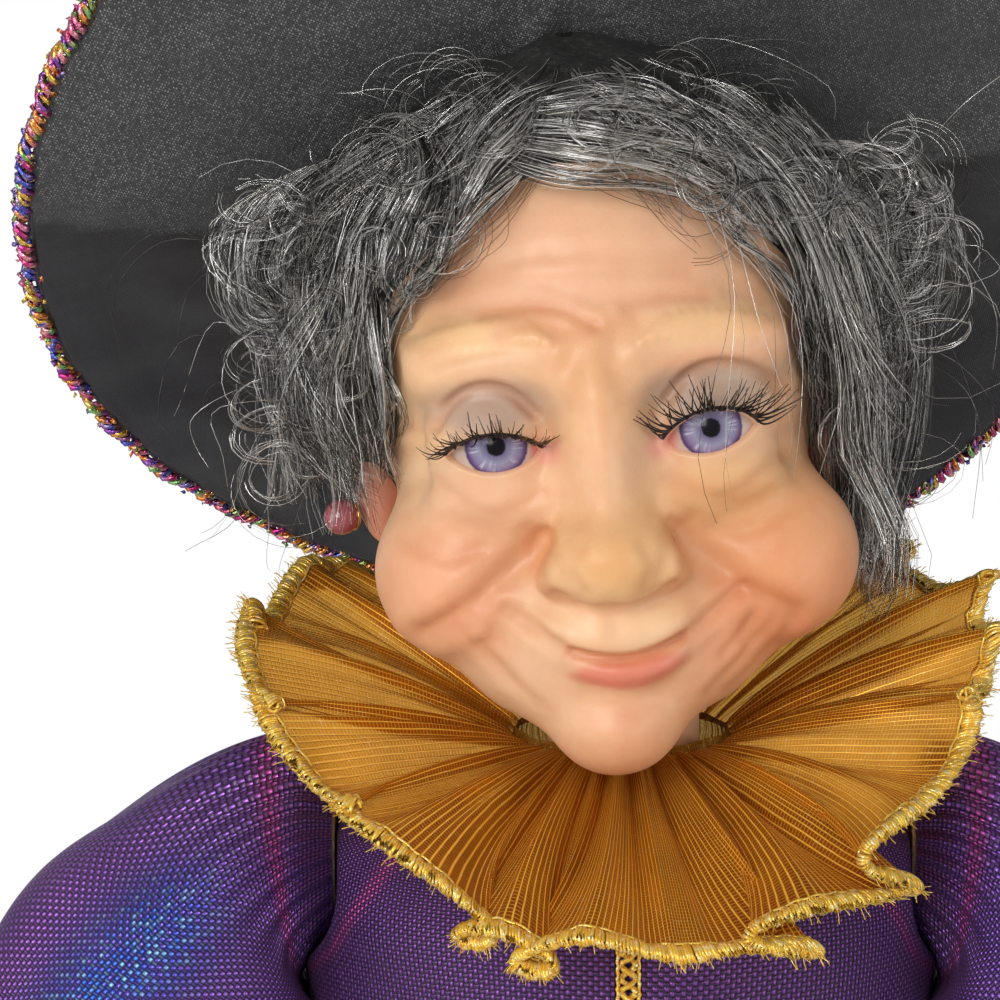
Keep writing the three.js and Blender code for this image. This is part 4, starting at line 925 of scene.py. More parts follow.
class HeadMap:
    """The head's surface by azimuth from the face and elevation, for laying hair over it."""

    def __init__(self, rows=60, columns=120):
        up = np.radians(np.linspace(-80, 89, rows))
        turn = np.radians(np.linspace(-180, 180, columns))
        up, turn = np.meshgrid(up, turn, indexing="ij")
        self.radius = head_radius(direction(turn, up))

    def at(self, turn, up, height):
        """Points at a height above the head, angles in degrees."""
        rows, columns = self.radius.shape
        over = up > 89
        turn = np.where(over, turn + 180, turn)
        up = np.where(over, 178 - up, up)
        i = np.clip((up + 80) / 169 * (rows - 1), 0, rows - 1.001)
        j = ((turn + 180) % 360) / 360 * (columns - 1)
        i0, j0 = i.astype(int), np.minimum(j.astype(int), columns - 2)
        ti, tj = i - i0, j - j0
        low = mix(self.radius[i0, j0], self.radius[i0, j0 + 1], tj)
        radius = mix(low, mix(self.radius[i0 + 1, j0], self.radius[i0 + 1, j0 + 1], tj), ti)
        ray = direction(np.radians(turn), np.radians(up))
        return HEAD_MIDDLE + ray * (radius + height)[..., None]


# Each family of under-locks: how many; azimuth range; (elevation, azimuth drift, height) stops from root
# to tip; spread of the tips in elevation; curl radius and turns; strands in a lock
HAIR = {
    "hair_fringe": [
        (26, (-70, 0), [(76, 0, 1.5), (64, -6, 2.4), (53, -18, 3), (46, -32, 3)], 5, 3.0, 0.7, 9),
        (26, (-14, 62), [(76, 0, 1.5), (65, 6, 2.6), (55, 16, 3.4), (48, 30, 3)], 5, 3.0, 0.7, 9),
    ],
    "hair_right": [
        (44, (-124, -62), [(62, 6, 2), (42, 0, 6), (20, -3, 8.5), (0, 4, 7)], 6, 3.6, 0.8, 16),
        (16, (-104, -66), [(50, 4, 6), (32, 0, 9.5), (16, 0, 10), (4, 8, 7)], 7, 5.4, 1.0, 16),
    ],
    "hair_left": [
        (48, (62, 124), [(62, -6, 2), (40, 0, 7), (8, 2, 9), (-24, 0, 6)], 6, 1.8, 0.6, 16),
        (10, (66, 104), [(56, -4, 7), (36, 0, 10), (16, 0, 11), (4, 5, 9)], 7, 5.0, 1.0, 16),
    ],
    "hair_back": [
        (66, (122, 238), [(40, 0, 3), (20, 0, 8), (2, 0, 9.5), (-22, 0, 8)], 7, 4.2, 0.9, 20),
    ],
}

# Combed locks over them, each by its two edges (x, z; x, z) from root to tip as seen from the front, how far
# it stands off the head, how many strands it has and how far its clumps wave
COMBED = {
    "hair_fringe": [
        ([(-12, 89, -12, 85), (-23, 86, -21, 81), (-34, 81, -29, 77), (-44, 75, -37, 72),
          (-48, 69, -41, 67)], 3, 120, 2.2),
        ([(-7, 89, -3, 86), (-11, 86, -6, 82), (-14, 83, -10, 79), (-16, 78, -13, 76),
          (-18, 73, -15, 73)], 4, 150, 0.9),
        ([(-19, 85, -24, 85), (-15, 78, -26, 79), (-16, 71, -31, 73), (-19, 65, -32, 67),
          (-25, 62, -28, 63)], 6, 240, 0.9),
        ([(-4, 89, -10, 79), (5, 90, -2, 76), (16, 86, 9, 74), (23, 79, 17, 70),
          (27, 70, 24, 63)], 4, 300, 1.6),
        ([(21, 78, 19, 74), (30, 78, 28, 71), (40, 76, 33, 70), (46, 70, 37, 65),
          (47, 60, 37, 58), (47, 50, 37, 50)], 5, 200, 1.6),
        ([(17, 71, 19, 67), (24, 63, 26, 60), (28, 55, 29, 52), (29, 47, 31, 43)], 3, 130, 1.1),
        ([(-6, 80, -8, 77), (-13, 76, -14, 72), (-19, 70, -20, 66), (-25, 63, -26, 59),
          (-29, 55, -28, 52)], 2, 150, 1.0),
    ],
    "hair_right": [
        ([(-44, 73, -34, 74), (-47, 64, -33, 64), (-46, 54, -29, 56), (-46, 41, -28, 47),
          (-47, 31, -29, 40.5)], 3, 480, 1.4),
        ([(-32, 67, -27, 62), (-31, 60, -27, 57), (-30, 52, -27, 49), (-30, 44, -28, 42),
          (-31, 38, -29, 36)], 3, 150, 0.9),
        ([(-38, 80, -30, 82), (-49, 75, -38, 76), (-52, 66, -42, 67), (-48, 58, -40, 60),
          (-40, 57, -37, 62)], 4, 190, 1.4),
    ],
    "hair_left": [
        ([(28, 72, 43, 73), (29.5, 63, 48, 63), (29.5, 52, 48, 50), (29.5, 39, 46, 36),
          (31.5, 26, 42, 23), (33.5, 14, 39, 11.5)], 3, 560, 0.9),
        ([(22, 73, 29, 72), (27, 64, 32, 62), (28, 53, 33, 51), (29, 40, 33, 38)], 3, 170, 0.9),
        ([(33, 74, 40, 78), (43, 76, 47, 73), (48, 68, 51, 64), (47, 58, 53, 55),
          (43, 52, 49, 47)], 4, 170, 1.2),
    ],
    "hair_back": [],
}

# Ringlets scattered over places of the wig's front: (x, z; half-width, half-height; how far they stand off;
# how many)
RINGLETS = {
    "hair_fringe": [
        ((-30, 80), (10, 5), 7, 16), ((-12, 86), (9, 4), 6, 12), ((10, 84), (12, 5), 8, 18),
        ((22, 76), (8, 6), 9, 18), ((36, 73), (8, 6), 10, 16), ((-23, 73), (6, 8), 9, 12),
    ],
    "hair_right": [((-42, 70), (6, 7), 8, 20), ((-40, 56), (7, 9), 8, 18), ((-40, 42), (6, 7), 7, 12)],
    "hair_left": [((44, 66), (6, 8), 8, 22), ((42, 50), (7, 9), 8, 18), ((39, 34), (5, 8), 7, 10)],
    "hair_back": [],
}

# Single hairs in wide arcs, each by (x, z, how far it stands off) from root to tip
LOOSE = {
    "hair_fringe": [
        [(9, 88, 6), (24, 93, 8), (34, 86, 10), (36, 76, 8)],
        [(22, 90, 6), (30, 90, 10), (33, 83, 10), (31, 76, 8)],
        [(14, 78, 6), (17, 60, 9), (15, 38, 12), (20, 15, 14)],
        [(18, 74, 5), (23, 58, 8), (24, 40, 12), (22, 22, 14)],
        [(20, 72, 5), (25, 60, 8), (27, 45, 11), (26, 30, 13)],
        [(-12, 79, 4), (-14, 72, 5), (-21, 67, 6), (-28, 62, 6)],
        [(-9, 79, 4), (-10, 72, 5), (-15, 68, 6), (-22, 66, 6)],
        [(-16, 92, 5), (-30, 92, 7), (-40, 84, 8), (-44, 74, 6)],
    ],
    "hair_right": [
        [(-44, 66, 6), (-55, 72, 8), (-64, 68, 8), (-67, 60, 6)],
        [(-44, 60, 6), (-52, 66, 9), (-57, 60, 9), (-50, 56, 6)],
        [(-45, 56, 5), (-53, 58, 8), (-58, 50, 8), (-56, 44, 6)],
        [(-42, 50, 4), (-50, 50, 7), (-55, 43, 8), (-53, 36, 6)],
        [(-40, 46, 4), (-46, 42, 6), (-52, 33, 6), (-60, 28, 4)],
        [(-38, 40, 4), (-42, 34, 5), (-46, 28, 5), (-44, 22, 4)],
    ],
    "hair_left": [
        [(35, 80, 5), (48, 80, 8), (54, 71, 8), (53, 61, 6)],
        [(58, 86, 10), (54, 79, 12), (48, 74, 8), (43, 69, 4)],
        [(42, 74, 4), (54, 76, 8), (59, 66, 8), (57, 54, 6)],
        [(44, 60, 4), (54, 62, 7), (57, 52, 7), (54, 40, 5)],
        [(44, 48, 4), (51, 46, 6), (54, 36, 6), (52, 24, 4)],
        [(36, 60, 6), (33, 44, 9), (30, 30, 12), (31, 18, 12)],
        [(38, 30, 4), (40, 20, 5), (36, 12, 7), (33, 6, 8)],
    ],
    "hair_back": [],
}


def front_of_head(x, z):
    """How far forward the skull, or the wig's round front beside it, reaches at each place."""
    wig = 7 - 28 * np.sqrt(np.maximum(1 - (x / 44) ** 2 - ((z - 54) / 42) ** 2, 0.02))
    skull = 3 - 40 * np.sqrt(np.maximum(1 - (x / 32) ** 2 - ((z - 56) / 37) ** 2, 0))
    return np.minimum(wig, skull)


def lock_paths(head_map, family, random, steps):
    """Strand paths of one family: locks that curl together, each strand a little apart."""
    count, (start, end), stops, tip_spread, curl, turns, strand_count = family
    share = np.linspace(0, 1, steps)
    up, drift, height = through(evenly(stops), share).T
    azimuth = np.linspace(start, end, count) + random.normal(0, 2, count)
    ease = share**1.5
    shape = (count, strand_count, steps)
    lock = random.normal(size=(count, 6, 1, 1))
    own = random.normal(size=(count, strand_count, 6, 1))
    apart = 0.6 + 0.6 * share
    up = up + lock[:, 0] * tip_spread * ease + own[:, :, 0] * 1.3 * apart
    turn = azimuth[:, None, None] + drift + lock[:, 1] * 4 * ease + own[:, :, 1] * 1.5 * apart
    rise = height + lock[:, 2] * 0.8 + own[:, :, 2] * 0.7 * (0.5 + share)
    points = head_map.at(np.broadcast_to(turn, shape), np.broadcast_to(up, shape), np.maximum(rise, 0.8))
    along = unit(np.gradient(points, axis=2))
    out = unit(points - HEAD_MIDDLE)
    across = unit(np.cross(along, out))
    way = np.where(lock[:, 4] > 0, 1, -1)
    wound = way * 2 * math.pi * turns * share * (1 + 0.08 * own[:, :, 4])
    turned = lock[:, 3] * 3 + own[:, :, 3] * 0.15 + wound
    radius = curl * (0.6 + 0.3 * np.abs(lock[:, 5])) * smooth_step(0, 0.4, share)
    radius = radius * (1 + 0.12 * own[:, :, 5])
    points = points + across * (radius * np.cos(turned))[..., None]
    points = points + out * (0.7 * radius * np.sin(turned))[..., None]
    return points.reshape(-1, steps, 3)


def combed_paths(lock, random, steps):
    """Strands between a lock's two edges, drawn together into clumps that wave and curl at their tips."""
    edges, lift, count, waviness = lock
    begin, end = random.uniform(0, 0.08, (count, 1)), 1 - random.gamma(1.6, 0.07, (count, 1))
    share = mix(begin, end, np.linspace(0, 1, steps))
    xa, za, xb, zb = np.moveaxis(through(evenly(edges), share), -1, 0)
    clumps = max(count // 18, 4)
    centre = (np.arange(clumps) + random.uniform(0.1, 0.9, clumps)) / clumps
    sway, curl, rise = random.normal(0, 1, (3, clumps))
    pace, phase = random.uniform(4, 9, clumps), random.uniform(0, 6, clumps)
    of = random.integers(0, clumps, count)
    across = centre[of, None] + random.normal(0, 0.45 / clumps, (count, 1)) * (0.7 + 0.6 * share)
    stray = np.where(random.uniform(0, 1, (count, 1)) < 0.24, 6.0, 1.0)
    wave = np.sin(share * random.uniform(4, 9, (count, 1)) + random.uniform(0, 6, (count, 1)))
    wave = wave * random.normal(0, 0.22, (count, 1)) * stray * (0.3 + share)
    wave = wave + (waviness * sway[of, None]) * np.sin(share * pace[of, None] + phase[of, None]) * share**0.7
    wound = phase[of, None] + 9 * share
    hook = 2.1 * np.abs(curl[of, None]) * smooth_step(0.5, 1, share)
    x = mix(xa, xb, across) + wave + hook * np.cos(wound)
    z = mix(za, zb, across) + 0.6 * wave + 0.7 * hook * np.sin(wound)
    full = np.sin(math.pi * np.clip(across, 0, 1)) * np.sin(math.pi * np.clip(share, 0.04, 0.96)) ** 0.6
    depth = lift + 2.4 * full + 0.8 * rise[of, None] - random.exponential(0.9, (count, 1)) + 0.6 * wave
    silver = np.exp(random.normal(0.3, 1.3, clumps))[of]
    tints = np.minimum(strand_tints(count, random) * silver, 1.0)
    return np.stack([x, front_of_head(x, z) - depth, z], -1), tints


def ringlet_paths(name, random, steps):
    """Open loops of a few strands each, lying on the locks like coiled fibre."""
    found = []
    for middle, spread, lift, count in RINGLETS[name]:
        for _ in range(count):
            wide = random.uniform() < 0.35
            strand_count = random.integers(1, 4) if wide else random.integers(5, 11)
            x0, z0 = np.array(middle) + random.uniform(-1, 1, 2) * spread
            radius = random.uniform(5, 8.5) if wide else random.uniform(2.2, 5.6)
            radius = radius + random.normal(0, 0.22, (strand_count, 1))
            begin, sweep = random.uniform(0, 2 * math.pi), random.choice([-1, 1]) * random.uniform(2.6, 5.4)
            turn = begin + sweep * np.linspace(0, 1, steps) * random.uniform(0.8, 1.1, (strand_count, 1))
            open_up = 1 + 0.5 * np.linspace(0, 1, steps) * random.uniform(-0.6, 1, (strand_count, 1))
            squash = random.uniform(0.6, 1.0)
            x = x0 + radius * open_up * np.cos(turn) + random.normal(0, 0.25, (strand_count, 1))
            z = z0 + radius * open_up * np.sin(turn) * squash + random.normal(0, 0.25, (strand_count, 1))
            off = lift + 1.6 * np.sin(turn + begin) + random.normal(0, 0.4, (strand_count, 1))
            found.append(np.stack([x, front_of_head(x, z) - off, z], -1))
    return np.concatenate(found) if found else np.zeros((0, steps, 3))


def loose_paths(name, random, steps):
    """Single hairs that stand off the locks in wide arcs, each with a companion or two."""
    found = []
    for arc in LOOSE[name]:
        arc = evenly(arc)
        for _ in range(random.integers(1, 4)):
            shake = random.normal(0, 1.6, (len(arc), 4)) * [0, 1, 1, 1]
            x, z, off = through(arc + shake, np.linspace(0, random.uniform(0.75, 1), steps)).T
            found.append(np.stack([x, front_of_head(x, z) - off, z], -1))
    return np.array(found).reshape(-1, steps, 3)


# How much silver is mixed into each piece of the wig, and how much painted light brightens it: most on the
# fringe, lit from above, least at the back
SILVER_AND_PAINTED_LIGHT = {"hair_fringe": 4.0, "hair_right": 3.0, "hair_left": 3.0, "hair_back": 1.8}


def strand_tints(count, random):
    """Black, grey and silver fibres mixed."""
    draw = random.uniform(0, 1, count)
    tint = np.where(draw < 0.5, random.uniform(0.006, 0.02, count), random.uniform(0.08, 0.24, count))
    return np.where(draw > 0.73, random.uniform(0.5, 1.0, count), tint)


def hair_material():
    made, tree, shader = new_material("grey wig fibre")
    tint = drawn(tree, "tint", "Color")
    uneven = mixed(tree, noise(tree, 380, 2), (1.0, 0.99, 0.96), (1.7, 1.68, 1.63))
    fill(tree, shader, {
        "Base Color": mixed(tree, 1.0, tint, uneven, "MULTIPLY"),
        "Metallic": 0.8,
        "Roughness": 0.26,
        "Specular IOR Level": 0.9,
        "Coat Weight": 0.35,
        "Coat Roughness": 0.14,
    })
    return made


def make_hair(name, head_map, material, seed):
    random = np.random.default_rng(seed)
    steps = 13
    under = np.concatenate([lock_paths(head_map, family, random, steps) for family in HAIR[name]])
    ringlets = ringlet_paths(name, random, steps)
    loose = loose_paths(name, random, steps)
    sets = [combed_paths(lock, random, steps) for lock in COMBED[name]]
    # Painted shade: the under-locks, beneath the combed ones, are painted darker.
    sets.append((under, 0.7 * strand_tints(len(under), random)))
    sets.append((ringlets, strand_tints(len(ringlets), random)))
    sets.append((loose, random.choice([0.02, 0.02, 0.03, 0.3], len(loose))))
    paths = below_brim(np.concatenate([path for path, _ in sets]), 2.0)
    tints = np.concatenate([tint for _, tint in sets])
    thick = random.uniform(0.032, 0.052, (len(paths), 1))
    points, faces, strand, share = strands(paths, thick * (1 - 0.35 * np.linspace(0, 1, steps) ** 3))
    hair = new_piece(name, from_head(points), faces, material)
    # Painted highlight: each strand is painted lighter in a band partway along it, as if lit where its lock
    # curves.
    painted_highlight = SILVER_AND_PAINTED_LIGHT[name] * (0.55 + bell(share, 0.42, 0.22))
    warmth = np.array([1.0, 0.965, 0.90])
    set_value(hair, "tint", np.minimum(tints[strand] * painted_highlight, 0.9)[:, None] * warmth)
    return stands_for(hair, "head", "hair", name)


def wig_base_material():
    made, tree, shader = new_material("dark wig base")
    stretched = node(tree, "Mapping", {"Vector": place(tree), "Scale": (1.0, 1.0, 0.18)}).outputs["Vector"]
    streak = noise(tree, 900, 4, 0.7, stretched)
    # Painted shade: the packed fibre is coloured near-black, as the depth under the locks and inside the
    # hat.
    stops = [(0.3, (0.010, 0.010, 0.010)), (0.55, (0.024, 0.023, 0.022)), (0.75, (0.07, 0.067, 0.062))]
    fill(tree, shader, {
        "Base Color": ramp(tree, streak, stops),
        "Roughness": 0.6,
        "Normal": bump(tree, streak, 0.0005),
    })
    return made


def make_wig_base(material):
    """Packed fibre under the locks, thin at the hairline and full over the ears."""
    rows, columns = 150, 200
    directions = face_directions(rows, columns, 0.2, 0.0)
    skin_radius = head_radius(directions)
    skin_points = HEAD_MIDDLE + directions * skin_radius[..., None]
    x, y, z = np.moveaxis(skin_points, -1, 0)
    line = np.interp(x, *np.array(HAIRLINE).T)
    behind = smooth_step(-16, 6, y)
    inside = z - mix(line, np.minimum(line, NAPE), behind)
    full = 2.2 + 4.0 * smooth_step(20, 32, np.abs(x)) * smooth_step(78, 50, z)
    lumps = 1 + 0.35 * ripple(5, 7, x * 0.09, y * 0.09, z * 0.09)
    height = smooth_step(-0.5, 9, inside) * full * lumps - 0.8 * smooth_step(2, 0, inside)
    points = HEAD_MIDDLE + directions * (skin_radius + height)[..., None]
    points = below_brim(points.reshape(-1, 3), 1.5)
    quads, _ = grid_faces(rows, columns)
    quads = quads[np.all(inside.ravel()[quads] > -1.5, axis=1)]
    base = new_piece("wig_base", from_head(points), quads, material)
    return stands_for(base, "head", "wig_net", "wig_cap")


# Cloth: a plain weave of over and under cells, shared by the satin and the gown

def weave_group():
    tree, given, out = new_group(
        "plain weave",
        {"Place": "NodeSocketVector", "Cells": "NodeSocketFloat"},
        {"Height": "NodeSocketFloat", "Over": "NodeSocketFloat", "Variation": "NodeSocketFloat"},
    )
    scale = {0: given["Place"], "Scale": given["Cells"]}
    scaled = node(tree, "VectorMath", scale, operation="SCALE").outputs["Vector"]
    cell = node(tree, "VectorMath", {0: scaled}, operation="FLOOR").outputs["Vector"]
    inside = node(tree, "VectorMath", {0: scaled}, operation="FRACTION").outputs["Vector"]
    column, row, _ = node(tree, "SeparateXYZ", {0: cell}).outputs
    u, v, _ = node(tree, "SeparateXYZ", {0: inside}).outputs
    over = calc(tree, "FLOORED_MODULO", calc(tree, "ADD", column, row), 2.0)
    round_u = calc(tree, "SINE", calc(tree, "MULTIPLY", u, math.pi))
    round_v = calc(tree, "SINE", calc(tree, "MULTIPLY", v, math.pi))
    warp = calc(tree, "MULTIPLY", round_u, calc(tree, "MULTIPLY_ADD", round_v, 0.45, 0.55))
    weft = calc(tree, "MULTIPLY", round_v, calc(tree, "MULTIPLY_ADD", round_u, 0.45, 0.55))
    both = node(tree, "Mix", {0: over, 2: weft, 3: warp}, data_type="FLOAT").outputs[0]
    chance = node(tree, "TexWhiteNoise", {"Vector": cell}, noise_dimensions="2D").outputs["Value"]
    fill(tree, out, {"Height": both, "Over": over, "Variation": chance})
    return tree


def cloth_place(tree):
    return node(tree, "UVMap", uv_map="cloth").outputs["UV"]


# Hat

CROWN_START = np.array([0, 2.5, 3.2])
CROWN_TIP = rotated(np.array([2, 84, 190]) - HAT_MIDDLE, "x", -HAT_TILT)
CROWN_RADIUS = 40.5
HAT_BAND_HEIGHT = 11

# Creases pressed into the brim as (start x, y; end x, y; height; width) in the hat's frame
BRIM_CREASES = [
    ((-1, -38), (-7, -20), -1.1, 2.2),
    ((2, -36), (-3, -20), 0.8, 2.6),
    ((-1, -30), (42, -9), 1.1, 3.4),
    ((-20, -32), (-34, -62), -0.7, 4.0),
    ((24, -40), (20, -74), 0.7, 5.0),
    ((46, 10), (74, 18), -0.8, 3.5),
    ((10, 44), (22, 76), 0.8, 4.0),
    ((-30, 34), (-58, 46), 0.6, 4.0),
]


def brim_fold(x, y):
    """Distance past the crease at which the lower half of the brim bends."""
    return y + 0.266 * np.abs(x) - 9.85


def brim_height(x, y):
    """Height of the brim's middle surface: halves bent to the face, a soft flutter and satin creases."""
    radius, angle = np.hypot(x, y), np.arctan2(y, x)
    height = -math.tan(math.radians(4)) * np.abs(x)
    height = height + 2.2 * (radius / BRIM_RADIUS) ** 2 * np.sin(3 * angle + 0.6)
    past = brim_fold(x, y)
    height = height - 0.05 * 2.5 * np.logaddexp(0, past / 2.5) + 0.5 * bell(past, 0, 2.0)
    for start, end, rise, width in BRIM_CREASES:
        a, b = np.array(start), np.array(end)
        flat = np.stack([x, y], -1)
        along = np.clip(((flat - a) @ (b - a)) / ((b - a) @ (b - a)), 0, 1)
        away = np.linalg.norm(flat - a - along[..., None] * (b - a), axis=-1)
        height = height + rise * np.sin(math.pi * np.clip(along, 0.05, 0.95)) * bell(away, 0, width)
    return height + 0.45 * ripple(21, 8, x * 0.03, y * 0.03) + 0.16 * ripple(22, 10, x * 0.09, y * 0.09)


def satin_material(weave):
    made, tree, shader = new_material("black satin")
    # The brim's lower panel is painted darker as shade, with fewer weave glints; it is also smoother.
    painted_shade_panel = drawn(tree, "painted_shade_panel")
    cells = grouped(tree, weave, {"Place": cloth_place(tree), "Cells": 3.3})
    fine = grouped(tree, weave, {"Place": cloth_place(tree), "Cells": 6.3})
    # Painted sheen: broad clouds of this noise lighten the ground and the weave glints.
    shade = noise(tree, 30, 3)
    # Painted glints: bright weave dots on the raised threads of random over cells.
    chance = calc(tree, "POWER", cells["Variation"], 1.8)
    raised = calc(tree, "POWER", cells["Height"], 1.6)
    painted_glint_dots = calc(tree, "MULTIPLY", raised, calc(tree, "MULTIPLY", cells["Over"], chance))
    painted_sheen_clouds = ranged(tree, shade, 0.36, 0.62, 0.35, 1.0)
    plain = calc(tree, "MULTIPLY", calc(tree, "MULTIPLY", painted_glint_dots, painted_sheen_clouds), ranged(tree, painted_shade_panel, 0, 1, 1.0, 0.12))
    clouded = mixed(tree, shade, (0.014, 0.014, 0.0145), (0.050, 0.050, 0.051))
    ground = mixed(tree, painted_shade_panel, clouded, (0.009, 0.009, 0.0095))
    coarse_relief = calc(tree, "MULTIPLY", cells["Height"], 0.7)
    relief = calc(tree, "ADD", coarse_relief, calc(tree, "MULTIPLY", fine["Height"], 0.3))
    fill(tree, shader, {
        "Base Color": mixed(tree, plain, ground, (0.46, 0.46, 0.47)),
        "Roughness": ranged(tree, painted_shade_panel, 0, 1, 0.40, 0.33),
        "Specular IOR Level": 0.6,
        "Sheen Weight": 0.12,
        "Sheen Roughness": 0.4,
        "Normal": bump(tree, calc(tree, "MULTIPLY", relief, ranged(tree, painted_shade_panel, 0, 1, 1.0, 0.4)), 0.0001),
    })
    return made


def make_brim(material):
    """Two layers of satin over the wired edge, turned at the rim."""
    columns, wall = 300, 0.75
    reach = np.linspace(25, BRIM_RADIUS, 84)
    bend = np.linspace(-1.2, 1.2, 6)
    turned = BRIM_RADIUS + wall * np.cos(bend)
    radius = np.concatenate([reach, turned, reach[::-1]])
    lift = np.concatenate([np.full(len(reach), -wall), wall * np.sin(bend), np.full(len(reach), wall)])
    angle = round_turn(columns)
    x, y = radius[:, None] * np.cos(angle), radius[:, None] * np.sin(angle)
    z = brim_height(x, y) + lift[:, None]
    points = np.stack([x, y, z], -1).reshape(-1, 3)
    quads, _ = grid_faces(len(radius), columns)
    brim = new_piece("hat_brim", from_head(from_hat(points)), quads[:, ::-1], material)
    # Painted shade: the brim's half past its crease is painted darker.
    set_value(brim, "painted_shade_panel", smooth_step(-0.6, 0.6, brim_fold(x, y)).ravel())
    set_uv(brim, rotated(points, "z", 12)[quads[:, ::-1].ravel(), :2])
    return stands_for(brim, "head", "satin", "hat_brim")


def crown_path(share):
    rise = np.linalg.norm(CROWN_TIP - CROWN_START)
    start_handle = CROWN_START + [0, 0, rise * 0.42]
    tip_handle = CROWN_TIP + rotated([-9, -2, -rise * 0.42], "x", -HAT_TILT)
    return bezier([CROWN_START, start_handle, tip_handle, CROWN_TIP], share)


def make_crown(material):
    """The hat's point: it stands on the brim's back, crumples and leans at its tip."""
    rows, columns = 150, 120
    share = np.linspace(0, 1, rows) ** 0.92
    t, a = share[:, None], round_turn(columns)[None]
    radius = np.maximum(CROWN_RADIUS * (1 - t) ** 0.92, 0.5)
    radius = radius * (1 + 0.07 * np.sin(math.pi * t) * np.cos(21 * t))
    radius = radius * (1 + 0.035 * np.sin(math.pi * t) * np.cos(5 * a + 4 * t))
    crumple = ripple(31, 9, t * 7 + 0.4 * np.sin(a), np.cos(a) * 0.8, np.sin(a) * 0.8)
    radius = radius * (1 + 0.05 * smooth_step(0.06, 0.3, t) * crumple)
    points = tube_points(crown_path(share), radius, BACK)
    foot = points[:2].copy()
    foot[..., 2] = brim_height(foot[..., 0], foot[..., 1]) + np.array([0.4, 1.6])[:, None]
    points = np.concatenate([foot, points[2:]])
    points[2:, :, 2] = np.maximum(points[2:, :, 2], foot[1, :, 2] + 0.1)
    quads, places = grid_faces(rows, columns)
    crown = new_piece("hat_crown", from_head(from_hat(points.reshape(-1, 3))), quads, material)
    # The crown is painted partly shaded.
    set_value(crown, "painted_shade_panel", np.full(rows * columns, 0.35))
    set_uv(crown, places * [2 * math.pi * 26 / columns, 150 / rows])
    return stands_for(crown, "head", "satin", "hat_crown")


def make_hat_band(material):
    rows, columns = 26, 160
    level = np.linspace(0, 1, rows)[:, None]
    angle = round_turn(columns)
    ridges = 0.22 * np.sin(math.pi * level * 5 + 0.6 * np.sin(3 * angle))
    bulge = 0.9 + 0.5 * np.sin(math.pi * level) + ridges
    tuck = 1 - 1.4 * (smooth_step(0.06, 0, level) + smooth_step(0.94, 1, level))
    radius = CROWN_RADIUS * (1 - 0.055 * level) + bulge * tuck
    x, y = radius * np.cos(angle), radius * np.sin(angle) + CROWN_START[1]
    z = brim_height(x, y) * (1 - level) + 0.8 + level * (HAT_BAND_HEIGHT + CROWN_START[2] - 1)
    quads, places = grid_faces(rows, columns)
    points = np.stack([x, y, z], -1).reshape(-1, 3)
    band = new_piece("hat_band", from_head(from_hat(points)), quads, material)
    # The band, low under the crown, is painted mostly shaded.
    set_value(band, "painted_shade_panel", np.full(rows * columns, 0.8))
    set_uv(band, places * [2 * math.pi * 41 / columns, HAT_BAND_HEIGHT / rows])
    return stands_for(band, "head", "satin", "hat_band")


def brim_edge(angle, out, up):
    """Points beside the brim's edge, `out` beyond it and `up` from its middle surface."""
    x, y = BRIM_RADIUS * np.cos(angle), BRIM_RADIUS * np.sin(angle)
    z = brim_height(x, y) + up
    return np.stack([(BRIM_RADIUS + out) * np.cos(angle), (BRIM_RADIUS + out) * np.sin(angle), z], -1)


# Colours of the metallic braid: magenta, rose, gold, orange, violet, blue, green
BRAID_COLOURS = np.array([
    (0.55, 0.04, 0.22), (0.80, 0.25, 0.42), (0.80, 0.52, 0.10), (0.80, 0.27, 0.06),
    (0.25, 0.08, 0.42), (0.10, 0.13, 0.55), (0.25, 0.50, 0.18),
])


def braid_material():
    made, tree, shader = new_material("iridescent braid")
    tint = drawn(tree, "tint", "Color")
    shift = noise(tree, 700, 2)
    fill(tree, shader, {
        "Base Color": mixed(tree, ranged(tree, shift, 0.45, 0.75, 0, 0.55), tint, (0.82, 0.45, 0.25)),
        "Metallic": 0.88,
        "Roughness": 0.24,
        "Normal": bump(tree, noise(tree, 2600, 2), 0.0001),
    })
    return made


